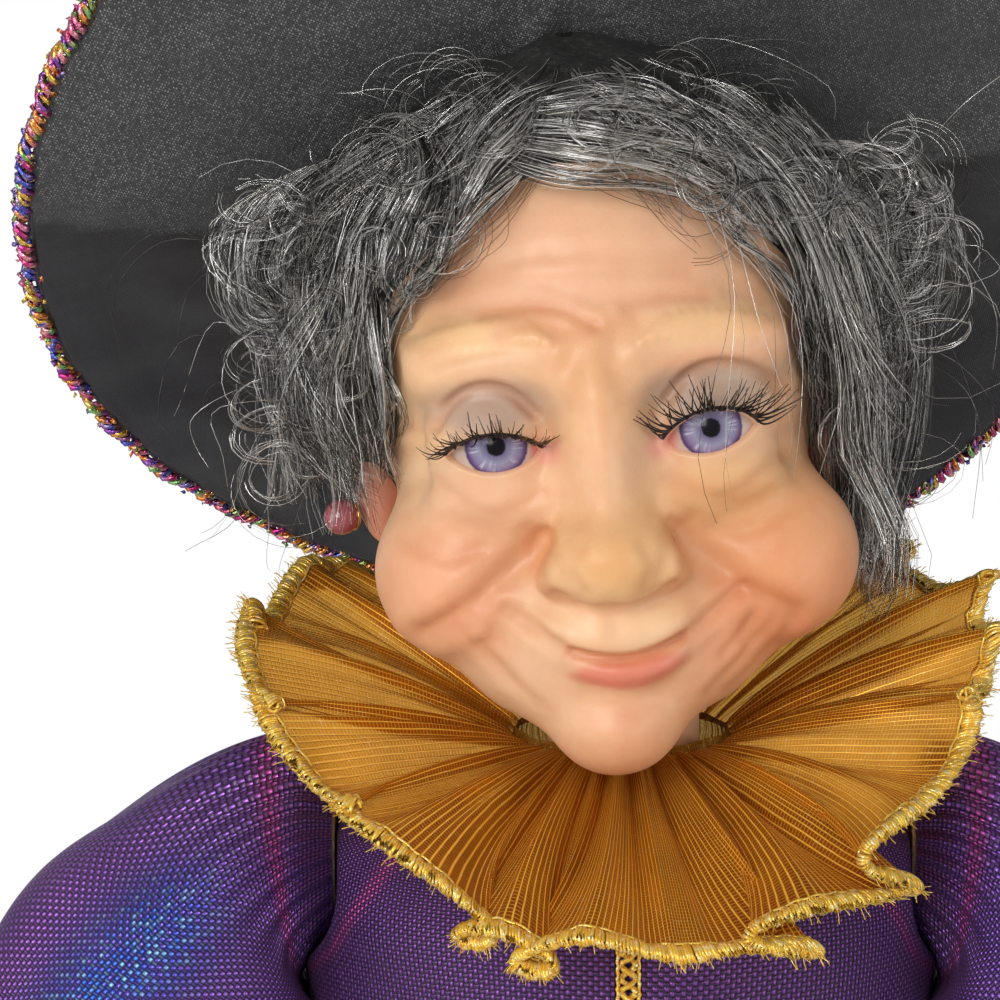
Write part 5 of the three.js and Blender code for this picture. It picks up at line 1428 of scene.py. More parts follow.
def make_brim_braid(material):
    """Three metallic yarns wound round each other, with loops and loose crumbs of foil."""
    random = np.random.default_rng(77)
    steps, yarns = 1500, 3
    angle = np.linspace(0, 2 * math.pi, steps)
    turns = 132
    parts, tints = [], []
    for yarn in range(yarns):
        wound = angle * turns + yarn * 2 * math.pi / yarns + 0.9 * np.sin(angle * 37 + yarn)
        swing = 0.95 + 0.35 * np.sin(angle * 96 + 2 * yarn) + 0.12 * random.normal(size=steps)
        path = brim_edge(angle, 1.75 + swing * np.cos(wound), swing * np.sin(wound))
        points, faces, _, share = strands(path[None], 0.46 + 0.1 * random.normal(size=(1, steps)), 5)
        parts.append((points, faces))
        picked = random.integers(0, len(BRAID_COLOURS), 420)
        tints.append(BRAID_COLOURS[picked[np.minimum((share * 420).astype(int), 419)]])
    crumbs = 1500
    corner = np.array([(1, 0, 0), (-1, 0, 0), (0, 1, 0), (0, -1, 0), (0, 0, 1), (0, 0, -1)], float)
    around = random.uniform(0, 2 * math.pi, crumbs)
    lump = np.round(around * 124 / (2 * math.pi)) * 2 * math.pi / 124
    around = mix(around, lump, 0.55)
    swirl, away = random.uniform(0, 2 * math.pi, crumbs), random.uniform(0.6, 1.6, crumbs)
    at = brim_edge(around, 1.95 + away * np.cos(swirl), away * np.sin(swirl))
    axes = unit(random.normal(size=(crumbs, 6, 3)) * 0.5 + corner)
    size = random.uniform(0.28, 0.75, (crumbs, 1, 1)) * random.uniform(0.6, 1.3, (crumbs, 6, 1))
    upper = [(0, 2, 4), (2, 1, 4), (1, 3, 4), (3, 0, 4)]
    lower = [(2, 0, 5), (1, 2, 5), (3, 1, 5), (0, 3, 5)]
    sides = np.array(upper + lower)
    crumb_faces = (sides[None] + (np.arange(crumbs) * 6)[:, None, None]).reshape(-1, 3)
    yarn_points, yarn_faces = join_meshes(parts)
    crumb_points = (at[:, None] + axes * size).reshape(-1, 3)
    points, faces = join_meshes([(yarn_points, triangles_of(yarn_faces)), (crumb_points, crumb_faces)])
    tints.append(BRAID_COLOURS[np.repeat(random.integers(0, len(BRAID_COLOURS), crumbs), 6)])
    braid = new_piece("brim_braid", from_head(from_hat(points)), faces, material, smooth=False)
    set_value(braid, "tint", np.concatenate(tints))
    return stands_for(braid, "head", "iridescent_braid", "brim_braid")


def make_brim_wire(material):
    """The wire in its satin casing, just inside the braid."""
    angle = np.linspace(0, 2 * math.pi, 361)
    points, faces, _, _ = strands(brim_edge(angle, 0.75, 0)[None], np.full((1, 361), 0.62), 8)
    wire = new_piece("brim_wire", from_head(from_hat(points)), faces, material)
    return stands_for(wire, "head", "steel", "brim_wire")


# Ruff: a strip of organza gathered into a neck band, its edge overlocked with gold thread

RUFF_MIDDLE = 396.6
RUFF_INNER, RUFF_OUTER = 15.2, 52.3
RUFF_FOLDS = 17
RUFF_FRONT, RUFF_BACK, RUFF_SIDE = -0.46, 0.42, 0.38

# Where the free edge curls round in a loop: degrees from the front, and how far it stands up or hangs
RUFF_LOOPS = [
    (-152, 0.5), (-118, 0.6), (-92, 0.7), (-68, 0.8), (-47, 0.5), (-26, -1.1), (-13.5, -1.0), (21, -1.1),
    (41, -1.4), (66, 0.6), (82, 0.4), (100, 0.4), (126, 0.4), (155, 0.5), (180, 0.6),
]


def ruff_points(turn, share):
    """Points of the ruff by angle from the front and share of its width: pleats with a looped edge."""
    even = turn + 0.05 * np.sin(3 * turn + 1) + 0.028 * np.sin(7 * turn + 2)
    fold = RUFF_FOLDS * even
    curl = rise = 0
    for k, (middle, stands) in enumerate(RUFF_LOOPS):
        past = (turn - math.radians(middle) + math.pi) % (2 * math.pi) - math.pi
        past = past / (0.108 + 0.018 * math.sin(2.4 * k))
        curl = curl + 2.33 * past * np.exp(-past * past) * mix(0.55, 1, abs(stands))
        rise = rise + stands * np.exp(-past * past)
    rolled = turn - 0.135 * share**2.6 * curl - 0.012 * share**1.5 * np.sin(2 * fold)
    long = 1 + 0.035 * np.sin(4 * turn + 0.4) + 0.015 * np.cos(fold)
    radius = RUFF_INNER + (RUFF_OUTER - RUFF_INNER) * share * mix(1, long, share)
    level, lean = (RUFF_BACK + RUFF_FRONT) / 2, (RUFF_BACK - RUFF_FRONT) / 2
    slope = level - lean * np.cos(turn) + (RUFF_SIDE - level) * (1 - np.cos(turn) ** 2)
    arch = 2.2 * np.sin(math.pi * share) * (0.6 - 0.4 * np.cos(turn))
    height = RUFF_MIDDLE + (radius - RUFF_INNER) * slope + arch
    height = height + share**2.4 * (0.8 * curl + 4.6 * rise) + 1.6 * share**0.9 * np.cos(fold)
    flute = share**0.45 * (1 - share) ** 0.6
    height = height + 3.1 * flute * np.cos(2 * fold + 1.5 * np.sin(2 * turn))
    height = height + 0.9 * flute * np.cos(5 * fold + 1.5 * np.sin(2 * turn))
    ruck = np.cos(9 * fold + 2 * np.sin(3 * turn) + 3 * share)
    height = height + 0.5 * share**0.5 * (1 - share) ** 1.2 * ruck
    return np.stack([radius * np.sin(rolled), -radius * np.cos(rolled), height], -1)


def organza_material(made_of, shade=1.0):
    """Gold threads with air between them; `shade` darkens it as painted shade, used for the gathered band in
    the chin's shadow, where many layers also lie together.
    """
    made, tree, shader = new_material(f"gold organza {made_of}")
    u, v, _ = node(tree, "SeparateXYZ", {0: cloth_place(tree)}).outputs
    drift = calc(tree, "MULTIPLY_ADD", noise(tree, 140, 2), 0.3, u)
    rib = ranged(tree, calc(tree, "SINE", calc(tree, "MULTIPLY", drift, 2 * math.pi / 0.86)), 0.4, 0.9)
    cross = ranged(tree, calc(tree, "SINE", calc(tree, "MULTIPLY", v, 2 * math.pi / 0.5)), 0.3, 0.95)
    thread = calc(tree, "MAXIMUM", rib, calc(tree, "MULTIPLY", cross, 0.45))
    # Painted glints: pale gold spots on the threads.
    painted_glint = calc(tree, "MULTIPLY", ranged(tree, noise(tree, 1500, 2), 0.56, 0.74), thread)
    deep, light = (0.36 * shade, 0.078 * shade, 0.001), (0.56 * shade, 0.15 * shade, 0.002)
    film = mixed(tree, ranged(tree, noise(tree, 90, 3), 0.35, 0.65), deep, light)
    gold = mixed(tree, thread, film, (shade, 0.52 * shade, 0.06 * shade))
    fill(tree, shader, {
        "Base Color": mixed(tree, painted_glint, gold, (1.0, 0.66, 0.18)),
        "Metallic": ranged(tree, thread, 0, 1, 0.1, 0.4),
        "Roughness": 0.4,
        "IOR": 1.12,
        "Transmission Weight": ranged(tree, thread, 0, 1, 0.6, 0.1),
        "Normal": bump(tree, thread, 0.00014),
    })
    return made


def make_ruff(material):
    rows, columns = 46, RUFF_FOLDS * 84
    turn, share = np.meshgrid(round_turn(columns), np.linspace(0, 1, rows), indexing="xy")
    points = ruff_points(turn, share)
    quads, places = grid_faces(rows, columns)
    ruff = new_piece("ruff", points.reshape(-1, 3), quads, material)
    width, edge = 0.0385, rim_length(points)
    set_uv(ruff, places * [edge / columns, width / MM / rows])
    stands_for(ruff, "body", "organza", "ruff")
    return ruff, (width, edge * MM), mesh_area(points, quads)


def gold_material():
    made, tree, shader = new_material("gold thread")
    tint = drawn(tree, "tint")
    # Painted sparkle: pale gold spots in the colour, which are also glossier.
    glossy_painted_sparkle = ranged(tree, noise(tree, 1500, 3), 0.5, 0.68)
    gold = mixed(tree, tint, (0.72, 0.34, 0.012), (1.0, 0.70, 0.11))
    fill(tree, shader, {
        "Base Color": mixed(tree, glossy_painted_sparkle, gold, (1.0, 0.86, 0.46)),
        "Metallic": 0.5,
        "Roughness": ranged(tree, glossy_painted_sparkle, 0, 1, 0.36, 0.16),
        "Normal": bump(tree, noise(tree, 3200, 2), 0.00008),
    })
    return made


def make_ruff_edge(material):
    """Overlock stitches: gold yarns wound round the edge, with short ends that stand out."""
    random = np.random.default_rng(52)
    steps = 4200
    turn = np.linspace(0, 2 * math.pi, steps)
    edge = ruff_points(turn, np.full(steps, 1.0))
    inward = unit(ruff_points(turn, np.full(steps, 0.96)) - edge)
    length = length_along(edge)
    along = unit(np.gradient(edge, axis=0))
    face = unit(np.cross(along, inward))
    parts, tints = [], []
    for yarn in range(3):
        wound = length / 1.25 * 2 * math.pi + yarn * 2.1 + 0.6 * np.sin(length * 0.9 + yarn)
        swing = 1.2 + 0.2 * np.sin(length * 2.3 + 2 * yarn)
        path = edge + inward * (0.8 + swing * np.cos(wound))[:, None]
        path = path + face * (0.55 * swing * np.sin(wound))[:, None]
        points, faces, _, _ = strands(path[None], np.full((1, steps), 0.29), 4)
        parts.append((points, faces))
        tints.append(np.repeat(random.uniform(0.2, 1.0, steps // 12 + 1).repeat(12)[:steps], 4))
    for way in (1, -1):
        path = edge + inward * (2.3 + 0.1 * np.sin(length * 1.7))[:, None] + face * (way * 0.22)
        points, faces, _, _ = strands(path[None], np.full((1, steps), 0.2), 4)
        parts.append((points, faces))
        tints.append(np.full(len(points), 1.0))
    ends = 1250
    at = (np.arange(ends) * (steps / ends) + random.uniform(0, 1.5, ends)).astype(int) % steps
    stray_along = 0.3 * along[at] * random.normal(size=(ends, 1))
    stray_up = 0.35 * face[at] * random.normal(size=(ends, 1))
    out = unit(-inward[at] + stray_along + stray_up)
    reach = random.uniform(1.1, 2.6, (ends, 1))
    bend = np.cross(out, unit(random.normal(size=(ends, 3))))
    root = edge[at] + inward[at] * 0.4
    tip = root + out * reach + bend * reach * 0.2
    half_way = root + out * reach * 0.5
    paths = bezier([root[:, None], half_way[:, None], tip[:, None]], np.linspace(0, 1, 4)[None])
    points, faces, strand, _ = strands(paths, np.full((1, 4), 0.075), 3)
    parts.append((points, faces))
    tints.append(random.uniform(0.3, 1, ends)[strand])
    whole, quads = join_meshes(parts)
    edging = new_piece("ruff_edge", whole, quads, material)
    set_value(edging, "tint", np.concatenate(tints))
    return stands_for(edging, "body", "gold_thread", "ruff_edge")


def make_ruff_band(material):
    """The neck band into which the ruff is gathered: small upright tucks."""
    rows, columns = 24, 408
    level = np.linspace(0, 1, rows)[:, None]
    turn = round_turn(columns)[None]
    tucks = 0.22 * np.cos(68 * turn + 0.8 * np.sin(5 * turn)) * np.sin(math.pi * level)
    radius = 14.9 + 0.7 * np.sin(math.pi * level) + tucks
    height = mix(392.7, 397.7, level) + 0.15 * np.sin(9 * turn)
    points = np.stack([radius * np.sin(turn), -radius * np.cos(turn), height], -1)
    quads, places = grid_faces(rows, columns)
    band = new_piece("ruff_band", points.reshape(-1, 3), quads, material)
    set_uv(band, places * [2 * math.pi * 15 * 2.2 / columns, 5 / rows])
    return stands_for(band, "body", "organza", "ruff_band")


# Gown: bodice, sleeves, cuffs, waistband and skirt of purple metallic cloth

# Torso sections from waist to neck: share of the way, height, half-width, half-depth
TORSO = [
    (0, 284.3, 29, 24), (0.14, 303.4, 30, 24), (0.34, 332.5, 38, 28), (0.54, 359.7, 43, 30),
    (0.68, 377, 44, 27), (0.82, 386, 39, 22), (1, 392, 13.3, 13.3),
]
SHOULDER_HEIGHT = 381
ARM_ROOT = np.array([44.9, 0, SHOULDER_HEIGHT])
ARM_BEND = ARM_ROOT + [10, -1, -6]
ELBOW = np.array([93.7465, -6, 326.7504])
FOREARM = unit([0.399915, -0.519890, -0.754840])
FOREARM_LENGTH = 62


def lame_material(name, weave, cells, deep, light):
    """Metallic cloth: bright cells over dark ones, deep to light violet, with painted blue sheen and glints
    where the highlight falls and painted rose sheen at seams and fold flanks.
    """
    made, tree, shader = new_material(name)
    woven = grouped(tree, weave, {"Place": cloth_place(tree), "Cells": cells})
    cast = noise(tree, 38, 3)
    blue = drawn(tree, "blue")
    rose = drawn(tree, "rose")
    # Painted blue sheen: beads turn blue, the brightest pale blue, where the highlight falls.
    painted_sheen_beads = calc(tree, "MULTIPLY", blue, ranged(tree, woven["Variation"], 0.15, 0.6, 0.35, 1.0))
    painted_glint = mixed(tree, ranged(tree, woven["Variation"], 0.6, 0.95), (0.03, 0.16, 0.95), (0.30, 0.60, 1.0))
    violet = mixed(tree, ranged(tree, cast, 0.35, 0.65), deep, light)
    violet = mixed(tree, calc(tree, "MULTIPLY", woven["Variation"], 0.3), violet, (0.24, 0.09, 0.40))
    bright = mixed(tree, rose, mixed(tree, painted_sheen_beads, violet, painted_glint), (0.80, 0.09, 0.40))
    # Under cells turn dark blue inside the painted blue sheen.
    dark = mixed(tree, blue, (0.018, 0.006, 0.034), (0.006, 0.010, 0.08))
    # Over cells are the bright yarn and under cells the dark one; each cell is also painted darker towards
    # its edges, a painted shade where its threads dip under.
    crown = calc(tree, "POWER", woven["Height"], 1.4)
    lit = calc(tree, "MULTIPLY", crown, ranged(tree, woven["Over"], 0, 1, 0.28, 1.0))
    fill(tree, shader, {
        "Base Color": mixed(tree, lit, dark, bright),
        "Metallic": ranged(tree, woven["Over"], 0, 1, 0.35, 0.8),
        "Roughness": ranged(tree, woven["Variation"], 0, 1, 0.28, 0.46),
        "Sheen Weight": 0.1,
        "Sheen Tint": (0.7, 0.4, 0.75, 1),
        "Normal": bump(tree, woven["Height"], 0.00014),
    })
    return made


# Painted sheen for the metallic cloth: blue where the highlight falls, rose at seams and fold flanks.
def paint_cast(piece, blue, rose):
    set_value(piece, "blue", blue)
    set_value(piece, "rose", rose)


def torso_rings(rows, columns, offset, start):
    """Rings of the torso grown by an offset, flattened where the shoulder discs lie."""
    z, width, depth = through(TORSO, np.linspace(start, 1, rows)).T
    turn = round_turn(columns)
    x = (width + offset)[:, None] * np.sin(turn)
    y = -(depth + offset)[:, None] * np.cos(turn)
    z = np.broadcast_to(z[:, None], x.shape)
    from_pin = np.hypot(y, z - SHOULDER_HEIGHT)
    flat = smooth_step(17, 14.5, from_pin)
    x = np.sign(x) * mix(np.abs(x), np.minimum(np.abs(x), 39.8), flat)
    return np.stack([x, y, z], -1), from_pin


def make_bodice(material):
    rows, columns = 150, 260
    points, from_pin = torso_rings(rows, columns, 1.9, 0.10)
    x, y, z = np.moveaxis(points, -1, 0)
    pull = 0.5 * ripple(41, 8, x * 0.035, z * 0.03, y * 0.03)
    drag = 0.55 * np.exp(-from_pin / 26) * np.cos(np.arctan2(z - SHOULDER_HEIGHT, y) * 9)
    seam = -0.5 * bell(x, 0, 1.2) * (y < 0)
    calm = smooth_step(14, 19, from_pin) * smooth_step(392, 386, z)
    out = unit(points * [1, 1, 0])
    points = points + out * ((pull + drag + seam) * calm)[..., None]
    quads, places = grid_faces(rows, columns)
    bodice = new_piece("bodice", points.reshape(-1, 3), quads, material)
    set_uv(bodice, places * [230 / columns, 112 / rows])
    # Painted rose sheen along the armhole seam.
    paint_cast(bodice, np.zeros(rows * columns), (0.7 * bell(from_pin, 18.5, 0.7)).ravel())
    stands_for(bodice, "body", "gown_cloth", "bodice")
    return bodice


def arm_path(rows):
    """The sleeve's middle from shoulder to wrist, rounded at the elbow, and the distance along it."""
    head = mix(np.array([40.6, 0, SHOULDER_HEIGHT]), ARM_ROOT, np.linspace(0, 1, 8)[:-1, None])
    upper = bezier([ARM_ROOT, ARM_BEND, ELBOW], np.linspace(0, 1, 80))
    lower = ELBOW + FOREARM * np.linspace(0.8, 58, 70)[:, None]
    whole = np.concatenate([head, upper, lower])
    length = length_along(whole)
    even = np.linspace(0, length[-1], rows)
    path = np.stack([np.interp(even, length, whole[:, k]) for k in range(3)], -1)
    for _ in range(40):
        path[1:-1] = path[1:-1] * 0.5 + (path[:-2] + path[2:]) * 0.25
    return path, even


def make_sleeve(side, material):
    """A full sleeve gathered at the armhole, narrowing past the elbow to the cuff."""
    rows, columns = 190, 171
    path, along = arm_path(rows)
    stops = [
        (0, 11.6), (2, 13.6), (4.5, 15.8), (9, 17.4), (18, 20.4), (30, 23), (42, 22.4),
        (56, 19), (74, 15), (82, 13.9), (98, 12.3), (118, 10.6), (along[-1], 9.7),
    ]
    stops = np.array(stops) / [along[-1], 1]
    radius = through(stops, along / along[-1], 1)[:, None]
    turn = round_turn(columns)[None]
    s = along[:, None]
    gather = 0.9 * bell(s, 6, 7) * np.cos(28 * turn + 2 * np.sin(3 * turn))
    fold = 0.9 * np.sin(math.pi * np.clip(s / 78, 0, 1)) * np.cos(7 * turn + 0.9 * np.sin(s * 0.06))
    lumps = ripple(50 + side, 9, s * 0.022, np.cos(turn) * 0.7, np.sin(turn) * 0.7)
    soft = 0.7 * smooth_step(8, 22, s) * lumps
    crease = 0.7 * bell(s, 80, 13) * np.cos(s * 0.85 + 1.3 * np.sin(turn)) * (0.6 - 0.4 * np.sin(turn))
    tucks = 0.25 * smooth_step(118, 136, s) * np.cos(21 * turn)
    heading = unit(np.gradient(path, axis=0))
    heading = unit(mix(np.array([1.0, 0, 0]), heading, smooth_step(2, 22, along)[:, None]))
    radius = radius + gather + fold + soft + crease + tucks
    points = tube_points(path, radius, BACK, heading)
    points = points.reshape(-1, 3) * [side, 1, 1]
    quads, places = grid_faces(rows, columns)
    quads = quads[:, ::-side]
    places = flipped(places, -side)
    name = side_name(side)
    sleeve = new_piece(f"{name}_sleeve", points, quads, material)
    set_uv(sleeve, places * [114 / columns, along[-1] / rows])
    # Painted blue sheen: a band down the sleeve's front where the highlight falls.
    blue = bell(turn, math.radians(250), math.radians(20)) * smooth_step(10, 24, s)
    # Painted rose sheen at the gathered armhole and in a faint stripe down the sleeve.
    stripe = 0.12 * bell(turn, math.radians(215), 0.2) * smooth_step(10, 30, s)
    rose = 0.7 * bell(s, 8, 1.2) + stripe
    paint_cast(sleeve, blue.ravel(), rose.ravel())
    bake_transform(sleeve)
    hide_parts(f"{name}_sleeve", f"{name}_lower_sleeve")
    return sleeve


def make_cuff(side, material):
    """A turned-back band that flares over the wrist."""
    columns = 90
    profile = [
        (57.0, 9.6), (57.6, 10.3), (59.5, 10.7), (62, 10.9), (64.5, 11.1),
        (66, 11.5), (66.6, 11.4), (66.4, 10.6), (64, 10.0), (59, 9.4),
    ]
    profile = through(evenly(profile), np.linspace(0, 1, 44))
    path = ELBOW + FOREARM * profile[:, :1]
    turn = round_turn(columns)[None]
    radius = profile[:, 1:] + 0.14 * np.cos(9 * turn + profile[:, :1])
    along = np.broadcast_to(FOREARM, path.shape)
    points = tube_points(path, radius, BACK, along).reshape(-1, 3) * [side, 1, 1]
    quads, places = grid_faces(len(path), columns)
    cuff = new_piece(f"{side_name(side)}_cuff", points, quads[:, ::-side], material)
    set_uv(cuff, flipped(places, -side) * [65 / columns, 18 / len(path)])
    paint_cast(cuff, np.zeros(len(points)), np.zeros(len(points)))
    return stands_for(cuff, f"{side_name(side)}_forearm", "gown_cloth", f"{side_name(side)}_cuff")


def make_waistband(material):
    low, high = (np.array(corner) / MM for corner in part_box("waistband"))
    rows, columns = 30, 220
    level = np.linspace(0, 1, rows)[:, None]
    turn = round_turn(columns)[None]
    bulge = 0.5 * np.sin(math.pi * level) - 0.5 + 0.16 * np.sin(level * 5 * math.pi + 0.7 * np.sin(4 * turn))
    bulge = bulge - 1.6 * (smooth_step(0.07, 0, level) + smooth_step(0.93, 1, level))
    x, y = (high[0] + bulge) * np.sin(turn), -(high[1] + bulge) * np.cos(turn)
    z = np.broadcast_to(mix(low[2] + 0.2, high[2] - 0.2, level), x.shape)
    quads, places = grid_faces(rows, columns)
    band = new_piece("waistband", np.stack([x, y, z], -1).reshape(-1, 3), quads, material)
    set_uv(band, places * [200 / columns, 12 / rows])
    paint_cast(band, np.zeros(rows * columns), np.full(rows * columns, 0.12))
    return stands_for(band, "body", "gown_cloth", "waistband")


def make_skirt(material):
    """A floor-length bell: small gathers at the waist run into a dozen deep folds at the hem."""
    rows, columns = 150, 12 * 46
    down = np.linspace(0, 1, rows)[:, None] ** 0.9
    turn = round_turn(columns)[None]
    z = mix(289.0, 1.3, down) + 0.25 * down * np.cos(24 * turn)
    flare = mix(29.9, 99.5, np.clip((284 - z) / 282.8, 0, 1) ** 0.78)
    wander = turn + 0.05 * np.sin(2 * turn + 0.6) + 0.03 * np.sin(5 * turn + 4 * down) * (1 - down)
    fold = 4.4 * down**0.8 * (1 + np.cos(12 * wander))
    soft = 1.3 * down**0.7 * ripple(61, 9, np.cos(turn) * 1.6, np.sin(turn) * 1.6, down * 1.2)
    pleat = 0.8 * np.sin(math.pi * np.clip(down * 1.6, 0, 1)) ** 0.7
    pleat = pleat * np.cos(36 * wander + 1.2 * np.sin(3 * turn))
    gather = 0.55 * bell(z, 289, 12) * np.cos(72 * turn)
    least = flare + 0.4 * down
    radius = least + 0.5 * np.logaddexp(0, (flare + fold + soft + pleat + gather - least) / 0.5)
    points = np.stack([radius * np.sin(turn), -radius * np.cos(turn), z], -1)
    quads, places = grid_faces(rows, columns)
    skirt = new_piece("skirt", points.reshape(-1, 3), quads[:, ::-1], material)
    set_uv(skirt, flipped(places, -1) * [560 / columns, 305 / rows])
    # Painted sheen: blue on one flank of each fold and rose on the other, as the light falls on them.
    lit = bell(np.cos(12 * wander + 0.9), 0.75, 0.25) * 0.35
    paint_cast(skirt, lit.ravel(), (0.12 * smooth_step(0.3, 0.9, np.cos(12 * wander - 1.2))).ravel())
    stands_for(skirt, "body", "gown_cloth", "skirt")
    return skirt


def make_front_braid(material):
    """Two gold cords looped through each other between straight edges, down the bodice's front."""
    random = np.random.default_rng(33)
    steps = 520
    share = np.linspace(0.185, 0.80, steps)
    z, _, depth = through(TORSO, share).T
    front = -(depth + 1.9 + 0.55)
    length = np.concatenate([[0], np.cumsum(np.hypot(np.diff(z), np.diff(front)))])
    swing = length * 2 * math.pi / 3.6
    paths = [
        np.stack([way * 0.95 * np.sin(swing), front - 0.4 + way * 0.32 * np.cos(2 * swing), z], -1)
        for way in (1, -1)
    ]
    paths += [
        np.stack([np.full(steps, way * 1.4) + 0.06 * np.sin(length * 5), front, z], -1)
        for way in (1, -1)
    ]
    radii = np.array([0.4, 0.4, 0.3, 0.3])[:, None] * (1 + 0.12 * np.sin(length * 9))[None]
    points, faces, _, _ = strands(np.array(paths), radii, 6)
    braid = new_piece("front_braid", points, faces, material)
    set_value(braid, "tint", np.clip(0.55 + 0.2 * random.normal(size=len(points)), 0, 1))
    return stands_for(braid, "body", "gold_thread", "front_braid")


# Hands

def tapered_tube(path, radius, flat, up, columns=28):
    """A tube of oval rings with rounded ends: `flat` is its thickness along `up` against its width."""
    along = unit(np.gradient(path, axis=0))
    across = unit(np.cross(along, up))
    thick = np.cross(across, along)
    turn = round_turn(columns)
    ring = across[:, None] * np.cos(turn)[:, None]
    ring = ring + thick[:, None] * (np.sin(turn)[:, None] * flat[:, None, None])
    points = path[:, None] + ring * radius[:, None, None]
    quads, _ = grid_faces(len(path), columns)
    return points.reshape(-1, 3), quads


def rounded(radius):
    """A radius by row whose first and last rows close over."""
    radius = radius.copy()
    radius[0] = radius[-1] = 0.03
    radius[1] *= 0.7
    radius[-2] *= 0.72
    radius[-3] *= 0.92
    return radius


def finger_path(root, heading, curl, length, steps=16):
    """A finger that curls a little more at each joint."""
    path, at = [], np.asarray(root, float)
    for step in range(steps):
        path.append(at)
        bend = math.radians(51) * (step / (steps - 1)) ** 1.3
        toward = heading * math.cos(bend) + np.cross(curl, heading) * math.sin(bend)
        at = at + toward * length / (steps - 1)
    return np.array(path)


def make_hand(side, material):
    """A relaxed cast hand: palm, four fingers and a thumb melted into one surface, with painted nails."""
    out = FOREARM
    inside = np.array([-0.75, 0.1, -0.45])
    inside = unit(inside - out * (inside @ out))
    across = np.cross(out, inside)
    wrist = ELBOW + out * FOREARM_LENGTH
    stops = [
        (-7.7, 4.6, 0.92), (-3, 4.9, 0.9), (1, 5.3, 0.82), (6, 6.6, 0.6),
        (11, 7.4, 0.5), (16, 7.5, 0.44), (20.5, 6.9, 0.36),
    ]
    spread = through(evenly(stops), np.linspace(0, 1, 30))
    parts = [tapered_tube(wrist + out * spread[:, :1], rounded(spread[:, 1]), spread[:, 2], inside)]
    tips = []
    for place_at, share in zip((-1, -1 / 3, 1 / 3, 1), (0.46, 0.54, 0.52, 0.42)):
        root = wrist + out * (16.2 - 1.3 * abs(place_at)) + across * (place_at * 5.3)
        path = finger_path(root, unit(out + across * place_at * 0.14), across, share * 40 + 1.5)
        row = np.linspace(0, 1, len(path))
        knuckle = 0.16 * (bell(row, 0.42, 0.08) + bell(row, 0.72, 0.07))
        thick = rounded(2.05 - 0.62 * row + knuckle)
        parts.append(tapered_tube(path, thick, np.full(len(path), 0.94), inside))
        tips.append((path[-1], path[-3]))
    thumb = unit(out + across * -0.75 + inside * 0.35)
    path = finger_path(wrist + out * 4.2 - across * 4.0, thumb, across, 17.5)
    row = np.linspace(0, 1, len(path))
    parts.append(tapered_tube(path, rounded(2.9 - 1.15 * row), np.full(len(path), 0.92), inside))
    tips.append((path[-1], path[-3]))
    points, quads = join_meshes(parts)
    name = f"{side_name(side)}_hand"
    rough = new_piece("rough_hand", points, quads, material)
    melt = rough.modifiers.new("melt", "REMESH")
    melt.mode, melt.voxel_size = "VOXEL", 0.42 * MM
    soften = rough.modifiers.new("soften", "SMOOTH")
    soften.factor, soften.iterations = 0.5, 5
    made = bpy.data.meshes.new_from_object(rough.evaluated_get(bpy.context.evaluated_depsgraph_get()))
    bpy.data.objects.remove(rough)
    count = len(made.vertices)
    at = np.empty(count * 3, np.float32)
    made.vertices.foreach_get("co", at)
    at = at.reshape(-1, 3) / MM
    faces = np.empty(len(made.loops), np.int32)
    made.loops.foreach_get("vertex_index", faces)
    faces = faces.reshape(-1, 4)
    bpy.data.meshes.remove(made)
    painted = np.tile(SKIN, (count, 1))
    for tip, before in tips:
        reach = np.linalg.norm(at - tip, axis=1)
        painted = mix(painted, np.array(BLUSH), (0.45 * bell(reach, 0, 4.5))[:, None])
        heading = unit(tip - before)
        back = unit(np.cross(heading, across))
        back = back if back @ inside < 0 else -back
        bed = (at - (tip - heading * 1.3 + back * 1.2)) @ np.stack([heading, across], -1) / [1.7, 1.15]
        nail = smooth_step(1.1, 0.85, np.linalg.norm(bed, axis=1))
        nail = nail * smooth_step(0.25, 0.6, (at - tip + heading * 1.3) @ back) * (reach < 5)
        painted = mix(painted, np.array((0.50, 0.10, 0.20)), (0.85 * nail)[:, None])
    hand = new_piece(name, at * [side, 1, 1], faces[:, ::side], material)
    set_value(hand, "paint", painted)
    return stands_for(hand, f"{side_name(side)}_forearm", "skin", name)


# Stuffing and stand

def calico_material():
    made, tree, shader = new_material("stuffed calico")
    thread = noise(tree, 1800, 2)
    fill(tree, shader, {
        "Base Color": mixed(tree, noise(tree, 120, 3), (0.55, 0.46, 0.33), (0.68, 0.60, 0.46)),
        "Roughness": 0.85,
        "Normal": bump(tree, thread, 0.00015),
    })
    return made


def make_torso(material):
    rows, columns = 70, 90
    points, _ = torso_rings(rows, columns, -0.5, 0)
    x, y, z = np.moveaxis(points, -1, 0)
    tucked = 1 - 0.012 * np.abs(ripple(71, 8, x * 0.05, y * 0.05, z * 0.05))
    points = points * tucked[..., None] ** [1, 1, 0]
    middle = points.mean(1, keepdims=True)
    points = np.concatenate([mix(middle[:1], points[:1], 0.45), points, mix(middle[-1:], points[-1:], 0.45)])
    quads, _ = grid_faces(rows + 2, columns)
    torso = new_piece("torso", points.reshape(-1, 3), quads, material)
    stands_for(torso, "body", "stuffed_calico", "torso")


